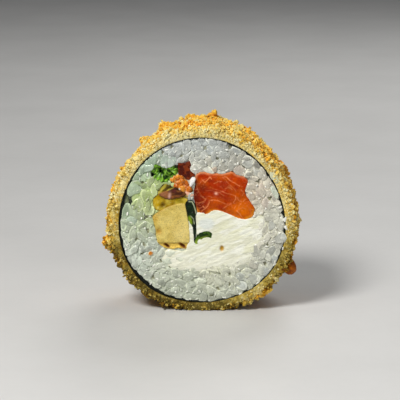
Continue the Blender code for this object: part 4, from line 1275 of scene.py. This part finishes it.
def make_bits(region, finish):
    """Bits of broken grain and starch that the knife left on both cut faces, in one mesh."""
    template, faces = ball(2)
    points, tints = [], []
    for side in SIDES:
        draw = np.random.default_rng(SEED + 5 * side)
        middles, _ = thrown(region, draw, BIT_DARTS, BIT_SPACING, 0.25, side)
        count = len(middles)
        size = np.stack([draw.uniform(0.25, 0.75, count), draw.uniform(0.1, 0.22, count),
                         draw.uniform(0.14, 0.34, count)], axis=1)
        shape = template[None] * draw.uniform(0.75, 1.25, (count, len(template), 1)) * size[:, None]
        across, up = rotated(shape[..., 0], shape[..., 2], draw.uniform(0, math.pi, (count, 1)))
        high = draw.uniform(0.0, 0.2, count)[:, None] + shape[..., 1]
        points.append(
            np.stack([middles[:, :1] + across, side * (HALF + high), middles[:, 1:] + up], axis=2))
        tint = rice_tint(on_face(middles, side))
        tints.append(np.clip(tint + (MILKY - tint) * draw.uniform(0.2, 1.0, (count, 1)), 0, 1))
    points, tints = np.concatenate(points), np.concatenate(tints)
    add_piece("rice_bits", points.reshape(-1, 3), [repeated(faces, len(points), len(template))], finish,
              tint=np.repeat(tints, len(template), axis=0))


def odd_grains(side):
    """The odd grains of one face, slightly three-sided and domed."""
    rows = np.array([row[:6] for row in ODD_GRAINS])
    count = len(rows)
    reaches = 1 + 0.12 * np.sin(3.0 * SPOKE_TURNS + 5.0 * rows[:, :1])
    _, _, long, wide, turn, top = rows.T
    made, skin = grain_points(side, rows[:, :2], long, wide, np.radians(turn), reaches, top,
                              np.zeros((count, 2)), np.full(count, 0.25))
    tint = 1.28 * np.array([screen(*row[6]) for row in ODD_GRAINS])
    return made, skin * smoothstep((tint.max(axis=1, keepdims=True) - 0.35) / 0.4), tint


def make_rice(outer, holes):
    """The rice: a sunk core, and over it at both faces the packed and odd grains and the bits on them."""
    finish = rice_finish()
    core = Region(outer, holes, 0.35)
    slab("rice_core", core, core_relief, core_paint, finish, "rice", 0.1)
    region = Region(outer, holes, 0.25)
    points, faces, tints = [], [], []
    offset = 0
    for side in SIDES:
        draw = np.random.default_rng(SEED + side)
        triangles, quads = grain_faces(side)
        groups = (packed_grains(region, side, draw), odd_grains(side))
        for made, skin, tint in groups:
            copies, size = made.shape[:2]
            flat = made.reshape(-1, 3)
            colour = np.repeat(tint, size, axis=0)
            # Milky rims: partly the grains' whiter starch skin, partly painted light glowing through their
            # edges and lifting the shade there
            shown = skin.ravel() * smoothstep((side * flat[:, 1] - HALF + 0.75) / 0.5)
            shown *= np.clip(0.62 + 0.8 * rough(flat, 2.2, 33, 2) + 0.6 * rumple(flat, 0.7, 35), 0.08, 1)
            colour = colour * (0.78 + 0.14 * rough(flat, 1.0, 37, 3))[:, None]
            milky = MILKY * (colour / colour.max(axis=1, keepdims=True)) ** 0.7
            colour = colour + (milky - colour) * shown[:, None]
            points.append(flat)
            tints.append(colour)
            faces += [repeated(triangles, copies, size) + offset, repeated(quads, copies, size) + offset]
            offset += len(flat)
    add_piece("rice_grains", np.concatenate(points), faces, finish, tint=np.concatenate(tints))
    make_bits(region, finish)


def core_relief(places, depth):
    """The core lies just under the grains, deeper in the gaps and in the dark recess."""
    side = np.sign(places[0, 1])
    gap = smoothstep((0.5 - pit_away(places[:, (0, 2)], side)) / 0.5)
    return -CORE_SUNK + 0.2 * rough(places, 1.2, 95, 2) - 0.35 * gap - 1.2 * pit_share(places)


def core_paint(places, depth):
    """Mottled like the grains, painted darker in the gaps and in the recess: painted shade, and in the recess
    partly the nori's green.
    """
    side = np.sign(places[0, 1])
    grain = rice_tint(places) * (0.95 + 0.16 * rough(places, 1.3, 97, 2))[:, None]
    gap = smoothstep((0.4 - pit_away(places[:, (0, 2)], side)) / 0.4)
    # Painted shade in the gaps, and in the recess dark green: partly the nori's green, partly painted shade
    colour = blend(grain, screen(140, 138, 100), 0.9 * gap)
    return blend(colour, np.array(screen(60, 74, 44)), pit_share(places))


# The fillings: relief and colour over the cut faces

def swells(level, strength, size, salt, layers=2, turn=0, stretch=1.0):
    """A relief that swells round one level, its swells drawn out along one direction."""
    return lambda places, depth: level + strength * rough(turned(places, turn, stretch), size, salt, layers)


def mottled(places, first, second, level, strength, size, salt, layers=2):
    """Patches of two screen colours, more of the second where level is higher."""
    share = smoothstep(level + strength * rough(places, size, salt, layers))
    return blend(screen(*first), screen(*second), share)


def marked(colour, places, marks):
    """The colour with soft marks on it: place, half sizes, turn, screen colour and strength of each."""
    for x, z, wide, high, turn, shade, share in marks:
        colour = blend(colour, screen(*shade), share * spot(places, x, z, wide, high, turn))
    return colour


def fibre_share(places):
    """1 on the salmon's pale fibres. The back face has them turned half round."""
    flat = places[:, (0, 2)] + 0.12 * np.stack([rumple(places, 0.9, 171), rumple(places, 0.9, 172)], axis=1)
    if places[0, 1] > 0:
        flat = 2 * np.array(SALMON_MIDDLE) - flat
    share = np.zeros(len(flat))
    for strength, line in FIBRES:
        share = np.maximum(share, strength * along_line(flat, line, 0.23))
    return share * np.clip(0.8 + 0.7 * rumple(places, 1.1, 173), 0.2, 1)


def salmon_relief(places, depth):
    layers = turned(places, -28)[:, 2]
    bands = np.sin(1.9 * layers + 0.8 * np.sin(0.35 * places[:, 0] + places[:, 1]))
    crown = 0.34 * smoothstep(depth / 2.6)
    height = crown - 0.08 + 0.11 * bands + 0.10 * rough(places, 2.0, 101) + 0.03 * rough(places, 0.6, 104, 2)
    return height + 0.08 * fibre_share(places) + 0.12 * spot(places, 4.4, 8.7, 0.35)


def salmon_paint(places, depth):
    colour = blend(screen(170, 46, 0), screen(226, 110, 0),
                   0.35 * smoothstep(0.5 + 0.9 * rough(places, 3.0, 106, 2)))
    # The last mark is a painted highlight: a pale pink glint on the raised spot at 4.4, 8.7
    colour = marked(colour, places, (
        (-2.0, 9.0, 1.1, 5.5, 0, (70, 10, 0), 0.85), (0.1, 10.3, 1.9, 1.6, 0, (112, 32, 2), 0.75),
        (-0.6, 5.0, 2.0, 3.4, 10, (100, 20, 0), 0.8), (4.0, 9.4, 4.2, 0.6, -8, (140, 26, 2), 0.6),
        (9.0, 6.8, 3.2, 1.4, -12, (150, 40, 2), 0.45), (12.6, 3.4, 3.6, 3.2, 0, (226, 110, 0), 0.95),
        (11.5, 13.0, 2.5, 1.5, -20, (200, 66, 4), 0.6), (4.4, 8.7, 0.45, 0.4, 0, (255, 190, 160), 1.0),
    ))
    high_edge = smoothstep((0.9 - depth) / 0.9) * smoothstep((places[:, 2] - 12.0) / 2)
    colour = blend(colour, screen(236, 160, 110), 0.7 * high_edge)
    low_edge = smoothstep((1.3 - depth) / 1.3) * smoothstep((4.8 - places[:, 2]) / 2)
    colour = blend(colour, screen(240, 150, 24), 0.9 * low_edge)
    return blend(colour, screen(246, 150, 90), 0.75 * fibre_share(places))


def cheese_relief(places, depth):
    drag = turned(places, 24, 4.5)
    height = 0.09 * rough(drag, 0.9, 110, 2) + 0.06 * rumple(drag, 0.35, 113)
    height += 0.12 * rumple(places, 5.0, 115)
    block = spot(places, 1.4, -0.8, 3.2, 2.4) ** 0.5
    pit = spot(places, 6.2, -8.7, 0.55, 0.75)
    return height * (1 - 0.7 * block) + 0.14 * smoothstep(block * 2 - 1) - 0.7 * pit


def cheese_paint(places, depth):
    drag = turned(places, 24, 4.5)
    colour = mottled(drag, (236, 236, 212), (250, 251, 236), 0.5, 1.2, 0.8, 118, 3)
    colour = blend(colour, screen(232, 232, 196), 0.5 * smoothstep(-2.2 * rough(drag, 1.2, 121, 3)))
    colour = blend(colour, screen(232, 237, 228), smoothstep(2.2 * spot(places, 1.4, -0.8, 2.9, 2.2) - 0.6))
    # Lighter towards the bottom, painted light against the shade of its sunk edge there
    colour = blend(colour, screen(242, 242, 222), 0.7 * smoothstep((-9.5 - places[:, 2]) / 3.5))
    return blend(colour, screen(196, 150, 40), smoothstep(1.6 * spot(places, 6.2, -8.7, 0.55, 0.8)))


def omelette_relief(places, depth):
    folded = smoothstep((-6.9 - places[:, 2]) / 0.35)
    pockets = spot(places, -10.8, -8.0, 1.1, 0.45, -35) + spot(places, -6.0, -8.0, 1.4, 0.5, -38)
    lip = smoothstep((-8.3 - places[:, 2]) / 0.25)
    height = 0.22 + 0.05 * rough(places, 1.5, 130, 2) + 0.02 * rumple(places, 0.4, 133)
    return height - 0.5 * folded - 1.0 * pockets + 0.35 * lip - 0.45 * spot(places, -13.3, -3.5, 0.7, 0.9)


def omelette_paint(places, depth):
    colour = mottled(places, (205, 180, 88), (220, 198, 110), 0.5, 1.0, 2.4, 136)
    colour = marked(colour, places, ((-6.0, -4.0, 3.0, 4.0, 0, (236, 214, 136), 0.6),))
    edge = smoothstep((0.5 - depth) / 0.5) * smoothstep((places[:, 2] - places[:, 0] - 12.0) / 3)
    colour = blend(colour, screen(170, 130, 50), 0.6 * edge)
    colour = marked(colour, places, (
        (-13.3, -3.5, 0.8, 1.0, 40, (180, 130, 24), 0.85), (-14.2, 0.8, 1.0, 1.3, 0, (196, 150, 20), 0.6),
    ))
    folded = smoothstep((-7.0 - places[:, 2]) / 0.4)
    colour = blend(colour, screen(228, 192, 84), folded)
    pockets = spot(places, -10.8, -8.0, 1.2, 0.5, -35) + spot(places, -6.0, -8.0, 1.5, 0.55, -38)
    return blend(colour, screen(112, 54, 0), smoothstep(1.7 * pockets - 0.25))


def mushroom_paint(places, depth):
    colour = mottled(turned(places, 4, 3.0), (78, 36, 6), (146, 88, 36), 0.45, 1.6, 0.7, 142)
    # The pale pink streak at -9.9, 7.9 is a painted highlight
    colour = marked(colour, places, (
        (-11.6, 8.2, 1.6, 0.7, 0, (150, 100, 70), 0.7), (-6.2, 8.4, 1.6, 1.2, 0, (52, 20, 8), 0.7),
        (-8.4, 9.4, 0.7, 0.5, 0, (104, 40, 40), 0.7), (-9.9, 7.9, 0.4, 0.9, -8, (216, 168, 150), 0.95),
        (-7.6, 10.0, 0.8, 0.35, -30, (24, 10, 4), 0.8),
    ))
    low = smoothstep((0.4 - depth) / 0.4) * smoothstep((8.4 - places[:, 2]) / 0.8)
    return blend(colour, screen(56, 28, 10), 0.8 * low)


def radish_relief(places, depth):
    height = -0.1 + 0.16 * rough(places, 1.5, 145, 2) + 0.3 * spot(places, -13.4, 5.8, 1.2, 1.6)
    return height - 0.5 * spot(places, -11.9, 4.8, 0.7, 0.7) - 0.2 * smoothstep((places[:, 2] - 9.2) / 0.8)


def radish_paint(places, depth):
    colour = mottled(places, (162, 130, 14), (200, 174, 60), 0.45, 1.3, 1.3, 148)
    above = smoothstep((places[:, 2] - 8.8) / 0.6)
    streak = smoothstep(0.5 + 1.6 * rumple(turned(places, 42, 4.0), 0.45, 147))
    colour = blend(colour, blend(screen(84, 64, 10), screen(186, 170, 60), streak), above)
    colour = marked(colour, places, (
        (-13.5, 5.6, 1.1, 1.8, 0, (198, 160, 0), 0.9), (-11.9, 4.7, 0.8, 0.8, 0, (104, 78, 0), 0.95),
        (-6.7, 6.1, 1.4, 0.7, 0, (140, 126, 0), 0.8), (-9.6, 10.5, 1.3, 0.4, 0, (34, 34, 4), 0.8),
    ))
    gleam = smoothstep(2.4 * rumple(turned(places, 60, 2.0), 0.8, 149) - 1.2) * (1 - above)
    return blend(colour, screen(238, 224, 120), 0.6 * gleam)


def tuna_paint(places, depth):
    colour = mottled(places, (76, 16, 0), (128, 50, 12), 0.35, 1.5, 1.0, 152, 3)
    return blend(colour, screen(84, 22, 10), 0.6 * smoothstep((0.5 - depth) / 0.5))


# Pale lines along the cucumber's skin and in its flesh
SKIN_LINE = ((-3.9, 6.0), (-3.0, 6.0), (-2.4, 4.8), (-1.9, 3.2), (-1.8, 2.3))
FLESH_LINE = ((-3.4, 1.5), (-2.6, 0.6), (-2.3, -1.0))


def cucumber_relief(places, depth):
    height = 0.02 + 0.1 * rough(turned(places, 80, 3.0), 1.1, 155, 2)
    height += 0.12 * along_line(places[:, (0, 2)], SKIN_LINE, 0.3)
    height -= 0.3 * spot(places, -1.5, 4.6, 0.5, 1.8, -16)
    return height - 0.25 * spot(places, -2.4, -0.2, 0.5, 0.4)


def cucumber_paint(places, depth):
    flat = places[:, (0, 2)]
    colour = mottled(places, (6, 20, 4), (20, 44, 14), 0.2, 1.2, 0.9, 158)
    colour = blend(colour, screen(54, 34, 12), spot(places, -1.4, 4.8, 0.55, 2.0, -16))
    flesh = spot(places, -3.6, 0.1, 0.75, 1.7, 14)
    colour = blend(colour, screen(122, 146, 24), smoothstep(2.2 * flesh - 0.6))
    pale = np.maximum(along_line(flat, SKIN_LINE, 0.26), 0.8 * along_line(flat, FLESH_LINE, 0.2))
    gleam = smoothstep(1.8 * rumple(turned(places, 75, 3.5), 0.5, 159) - 1.1)
    return blend(colour, screen(190, 200, 160), np.maximum(0.75 * pale, 0.4 * gleam))


def onion_paint(places, depth):
    colour = mottled(places, (18, 44, 4), (62, 96, 20), 0.3, 1.4, 0.9, 162)
    pale = spot(places, -1.5, -6.9, 1.2, 0.6, 45) + 0.6 * spot(places, 0.6, -5.3, 1.2, 0.3, 20)
    return blend(colour, screen(150, 176, 60), np.clip(1.3 * pale, 0, 0.9))


def roe_core_paint(places, depth):
    return mottled(places, (200, 84, 30), (232, 130, 60), 0.5, 1.0, 0.9, 166, 1)


def spread_cheese(loop, others):
    """The cheese's outline where it has smeared over the rice, away from the other fillings."""
    outward = outward_of(loop)
    clear = np.full(len(loop), 9.0)
    for other in others:
        clear = np.minimum(clear, np.linalg.norm(loop[:, None] - other[None], axis=2).min(axis=1))
    places = on_face(loop, 1)
    uneven = 1.7 + 1.0 * rough(places, 2.2, 170, 3)
    uneven += 2.2 * spot(places, 11.0, -12.5, 5.0) + 1.2 * spot(places, 20.0, -4.0, 5.0)
    reach = uneven * smoothstep((clear - 0.7) / 1.5)
    return loop + outward * reach[:, None]


def make_fillings(outlines):
    """Every filling but the leaf and the roe, each over its part of the section."""
    # Mesh step, rounding of the edge, relief and paint, and the finish or what soft_finish is given
    looks = (
        ("salmon", 0.17, 0.25, salmon_relief, salmon_paint, salmon_finish()),
        ("omelette", 0.2, 0.15, omelette_relief, omelette_paint, omelette_finish()),
        ("mushroom", 0.16, 0.2, swells(0.32, 0.14, 0.9, 140, 2, 4, 4.0), mushroom_paint, (0.3, 0.7, 0.08)),
        ("pickled_radish", 0.18, 0.2, radish_relief, radish_paint, (0.15, 1.0, 0.08)),
        ("tuna", 0.18, 0.2, swells(0.1, 0.16, 1.1, 150, 2, 60, 2.0), tuna_paint, (0.2, 0.8, 0.08)),
        ("cucumber", 0.16, 0.25, cucumber_relief, cucumber_paint, (0.2, 0.7, 0.06)),
        ("spring_onion", 0.16, 0.2, swells(0.08, 0.12, 0.9, 160), onion_paint, (0.22, 0.6, 0.05)),
    )
    for name, step, rounding, relief, paint, finish in looks:
        if isinstance(finish, tuple):
            finish = soft_finish(name, *finish, Specular_IOR_Level=0.2)
        slab(name + "_cut", Region(outlines[name], (), step), relief, paint, finish, name, rounding)
    neat = resampled(outlines["cream_cheese"], 0.22)
    others = [loop for name, loop in outlines.items() if name != "cream_cheese"]
    spread = spread_cheese(neat, others)
    wide = Region(spread, (), 0.22)
    wide.loops = [spread]
    kept = Region(neat, (), 0.22)

    def sunk_relief(places, depth):
        """Level over its own room, and sinking between the grains where it has spread over the rice."""
        past = -kept.depth(places[:, (0, 2)])
        return cheese_relief(places, depth) + 0.06 - 0.36 * smoothstep((past - 0.2) / 2.8)

    def spread_paint(places, depth):
        """As clear as the rice where it is thin."""
        past = -kept.depth(places[:, (0, 2)])
        thin = smoothstep((past - 1.3 + 0.8 * rough(places, 1.2, 174, 2)) / 1.8)
        return blend(cheese_paint(places, depth), 0.96 * rice_tint(places), 0.7 * thin)

    slab("cream_cheese_cut", wide, sunk_relief, spread_paint, cheese_finish(), "cream_cheese", 0.35, neat)


# Eggs: how deep each layer of them lies and how far apart, and the one that strayed
EGG_LAYERS = ((1.0, 0.95), (0.62, 1.3))
STRAY_EGG = (-15.8, -10.3)
STRAY_EGG_SIZE = 0.62


def make_roe(loop):
    """Fish eggs heaped over their own core at both faces, and one that strayed into the rice."""
    finish = roe_finish()
    region = Region(loop, (), 0.3)
    slab("roe_core", region, swells(-0.75, 0.1, 0.8, 165, 1), roe_core_paint, finish, "roe")
    unit, faces = ball(3)
    draw = np.random.default_rng(SEED + 9)
    eggs = []
    for side in SIDES:
        for deep, spacing in EGG_LAYERS:
            darts = draw.uniform(loop.min(axis=0), loop.max(axis=0), (700, 2))
            kept = spaced(darts[region.depth(darts) > 0.42], spacing)
            eggs += [(x, side * (HALF - deep + draw.uniform(-0.15, 0.2)), z) for x, z in kept]
        eggs.append((STRAY_EGG[0], side * HALF, STRAY_EGG[1]))
    eggs = np.array(eggs)
    count = len(eggs)
    size = draw.uniform(0.7, 1.2, count)
    size[eggs[:, 0] == STRAY_EGG[0]] = STRAY_EGG_SIZE
    shape = unit[None] * (size[:, None] * draw.uniform(0.92, 1.06, (count, 3)))[:, None]
    points = (eggs[:, None] + shape).reshape(-1, 3)
    points += unit[None].repeat(count, axis=0).reshape(-1, 3) * (0.34 * rough(points, 0.9, 180, 2))[:, None]
    tone = blend(screen(188, 94, 8), screen(234, 150, 40), draw.random(count))
    tint = np.repeat(tone, len(unit), axis=0)
    # Each egg painted lighter round its sides: painted light through its clear skin
    sideways = np.tile(smoothstep((0.7 - np.abs(unit[:, 1])) / 0.3), count)
    tint = blend(tint, screen(250, 200, 140), 0.8 * sideways)
    add_piece("roe_eggs", points, [repeated(faces, count, len(unit))], finish, tint=tint)


# The leaf's sheets: how often each is folded, where its folds start, how unevenly they run
LEAF_SHEETS = ((5.5, 0.3, 0.9), (4.0, 2.4, 0.7))
LEAF_STEPS = 200
LEAF_ROWS = np.array((-1, -0.96, -0.85, -0.5, 0, 0.5, 0.85, 0.96, 1))
LEAF_HALF_THICK = 0.09
FLAP_SPACING = 1.15
FLAP_ACROSS, FLAP_ALONG = 19, 12


def folded_leaf():
    """The leaf's body, folded to and fro through its part of the section from face to face."""
    loop = np.array(OUTLINES["lettuce"])
    steps, rows = LEAF_STEPS, len(LEAF_ROWS)
    along_y = np.tile(LEAF_ROWS, steps)
    grids, tints = [], []
    for sheet, (folds, start, drift) in enumerate(LEAF_SHEETS):
        share = np.linspace(0, 1, steps)
        x = loop[:, 0].min() + 0.45 + (np.ptp(loop[:, 0]) - 0.9) * share
        low, high = np.full(steps, 99.0), np.full(steps, -99.0)
        for (ax, az), (bx, bz) in zip(loop, np.roll(loop, -1, axis=0)):
            at = az + (bz - az) * (x - ax) / (bx - ax)
            hit = (x - ax) * (x - bx) <= 0
            low, high = np.where(hit, np.minimum(low, at), low), np.where(hit, np.maximum(high, at), high)
        wave = np.sin(2 * math.pi * folds * share + start + drift * np.sin(11 * share))
        z = (low + high) / 2 + np.maximum((high - low) / 2 - 0.35, 0.05) * wave
        path = np.stack([np.repeat(share * 40, rows), along_y * 20, np.full(steps * rows, 3.0 * sheet)],
                        axis=1)
        ends = HALF - 0.8 + 0.3 * rough(path, 2.2, 190, 2)
        grid = np.stack([np.repeat(x, rows), along_y * ends, np.repeat(z, rows)], axis=1)
        grids.append(grid.reshape(1, steps, rows, 3))
        tints.append(mottled(path, (14, 44, 2), (50, 104, 14), 0.5, 1.0, 3.0, 196))
    return grids, tints


def leaf_flaps(region, side, draw):
    """Torn and ruffled edges of the leaf, standing up to the cut and bent over each other."""
    darts = draw.uniform(region.edge.min(axis=0), region.edge.max(axis=0), (900, 2))
    middles = spaced(darts[region.depth(darts) > 0.45], FLAP_SPACING)
    count = len(middles)
    u, v = np.meshgrid(np.linspace(-1, 1, FLAP_ACROSS), np.linspace(0, 1, FLAP_ALONG), indexing="ij")
    angle, half_wide, length, first, bend = (
        draw.uniform(low, high, (count, 1, 1))
        for low, high in ((0, 2 * math.pi), (1.0, 1.7), (1.6, 2.6), (0.5, 1.4), (-1.1, 0.3))
    )
    rise = first + bend * v
    step = length / (FLAP_ALONG - 1)
    forward = np.cumsum(np.cos(rise) * step, axis=2) - 0.5 * length * np.cos(first)
    up = np.cumsum(np.sin(rise) * step, axis=2)
    phase, waves = draw.uniform(0, 6.3, (count, 1, 1)), draw.uniform(0.7, 1.2, (count, 1, 1))
    ruffle = 0.3 * np.sin(2 * math.pi * waves * u + phase) * v
    wide = half_wide * u * (0.7 + 0.5 * v) * (1 + 0.15 * np.sin(9 * v + phase))
    forward, up = forward - ruffle * np.sin(rise), up + ruffle * np.cos(rise)
    x, z = rotated(forward, wide, angle) + middles.T[..., None, None]
    top = draw.uniform(-0.25, 0.3, (count, 1, 1))
    y = side * (HALF + top + up - up.max(axis=(1, 2), keepdims=True))
    # Darker down in the folds and lighter on the crests and towards the cut: painted shade and painted
    # highlights
    light = 0.2 + 0.6 * v + 0.3 * np.sin(2 * math.pi * waves * u + phase) + draw.normal(0, 0.2, (count, 1, 1))
    tint = blend(screen(16, 56, 0), screen(130, 186, 44), np.clip(light, 0, 1) ** 1.2).reshape(-1, 3)
    return np.stack([x, y, z], axis=-1), tint


def make_lettuce(loop):
    """A curly leaf: its folded body, and ruffled edges where it was cut."""
    grids, tints = folded_leaf()
    region = Region(loop, (), 0.3)
    for side in SIDES:
        grid, tint = leaf_flaps(region, side, np.random.default_rng(SEED + 20 + side))
        grids.append(grid)
        tints.append(tint)
    points, colours, faces = [], [], []
    offset = 0
    for grid, tint in zip(grids, tints):
        count, steps, rows, _ = grid.shape
        normal = np.cross(np.gradient(grid, axis=1), np.gradient(grid, axis=2))
        normal /= np.linalg.norm(normal, axis=-1, keepdims=True) + 1e-9
        size = steps * rows
        both = [(grid + way * LEAF_HALF_THICK * normal).reshape(count, size, 3) for way in (1, -1)]
        points.append(np.concatenate(both, axis=1).reshape(-1, 3))
        colours.append(np.concatenate([tint.reshape(count, size, 3)] * 2, axis=1).reshape(-1, 3))
        i, k = np.meshgrid(np.arange(steps - 1), np.arange(rows - 1), indexing="ij")
        corner = (i * rows + k).ravel()
        top = np.stack([corner, corner + rows, corner + rows + 1, corner + 1], axis=1)
        rim = np.concatenate([
            np.arange(steps) * rows, (steps - 1) * rows + np.arange(1, rows),
            (np.arange(steps - 1)[::-1]) * rows + rows - 1, np.arange(1, rows - 1)[::-1],
        ])
        after = np.roll(rim, -1)
        edge = np.stack([rim, rim + size, after + size, after], axis=1)
        one = np.concatenate([top, top[:, ::-1] + size, edge])
        faces.append(repeated(one, count, 2 * size) + offset)
        offset += 2 * size * count
    finish = soft_finish("lettuce", 0.25, 0.8, 0.06, (0.7, 1.2))
    add_piece("lettuce_leaf", np.concatenate(points), faces, finish, ("lettuce",),
              tint=np.concatenate(colours))


# Camera, light and floor

# The point the camera looks at, in millimetres, its turn and height in degrees and its distance
CAMERA_TARGET = (-0.546, -12.0, 35.254)
CAMERA_TURN, CAMERA_HEIGHT = 2.0, 13.0
CAMERA_AWAY = 0.6
CAMERA_LENS = 176.02
LIGHT_TARGET = (0.0, 0.0, 0.03)
# Each light: place, size, power and colour
LIGHTS = (
    ("key", (-0.22, -0.34, 0.46), 0.20, 3.3, (1.0, 0.98, 0.95)),
    ("fill", (0.40, -0.45, 0.25), 0.45, 0.4, (0.95, 0.98, 1.0)),
    ("back", (0.15, 0.45, 0.45), 0.35, 1.4, (1.0, 0.99, 0.97)),
)
SKY_COLOUR = (0.86, 0.87, 0.9, 1.0)
SKY_STRENGTH = 0.11
FLOOR_WIDE = 3.0


def make_camera():
    """A long lens, looking a little down at the front cut face."""
    turn, height = math.radians(CAMERA_TURN), math.radians(CAMERA_HEIGHT)
    away = Vector((math.sin(turn) * math.cos(height), -math.cos(turn) * math.cos(height), math.sin(height)))
    data = bpy.data.cameras.new("photo_view")
    data.lens = CAMERA_LENS
    data.sensor_width = 36.0
    data.clip_start = 0.01
    camera = linked("photo_view", data)
    camera.location = Vector(CAMERA_TARGET) * MM + away * CAMERA_AWAY
    camera.rotation_euler = away.to_track_quat("Z", "Y").to_euler()
    bpy.context.scene.camera = camera


def add_light(name, place, size, power, colour):
    """A round soft light, turned to the slice."""
    data = bpy.data.lights.new(name, "AREA")
    data.shape = "DISK"
    data.size = size
    data.energy = power
    data.color = colour
    light = linked(name, data)
    light.location = place
    light.rotation_euler = (Vector(place) - Vector(LIGHT_TARGET)).to_track_quat("Z", "Y").to_euler()


def make_studio():
    """A pale floor under soft light, the strongest from above and the left."""
    for light in LIGHTS:
        add_light(*light)
    world = bpy.data.worlds.new("studio")
    world.use_nodes = True
    sky = world.node_tree.nodes["Background"].inputs
    sky["Color"].default_value = SKY_COLOUR
    sky["Strength"].default_value = SKY_STRENGTH
    bpy.context.scene.world = world
    f = Finish("pale_floor")
    f.set("Base Color", f.ramp(f.noise(40.0), ((0.3, (0.62, 0.62, 0.61)), (0.7, (0.66, 0.66, 0.65)))))
    f.set("Roughness", f.clouded(0.5, 0.6, 3.0))
    mesh = bpy.data.meshes.new("floor")
    corners = [(x * FLOOR_WIDE, y * FLOOR_WIDE, 0) for x, y in ((-1, -1), (1, -1), (1, 1), (-1, 1))]
    mesh.from_pydata(corners, [], [(0, 1, 2, 3)])
    mesh.materials.append(f.material)
    linked("floor", mesh)
    bpy.context.scene.view_settings.view_transform = "Standard"


def main():
    """Every piece, then the studio and the camera."""
    outlines = {
        name: torn(np.array(loop), GROWN.get(name, GROWN_ELSE), RAGGED.get(name, RAGGED_ELSE))
        for name, loop in OUTLINES.items()
    }
    outlines["cream_cheese"] = outline("cream_cheese", GROWN["cream_cheese"])
    make_crust()
    make_drop()
    make_nori()
    make_rice(rice_ring(), list(outlines.values()))
    make_fillings(outlines)
    make_roe(outlines["roe"])
    make_lettuce(outlines["lettuce"])
    make_studio()
    make_camera()


main()
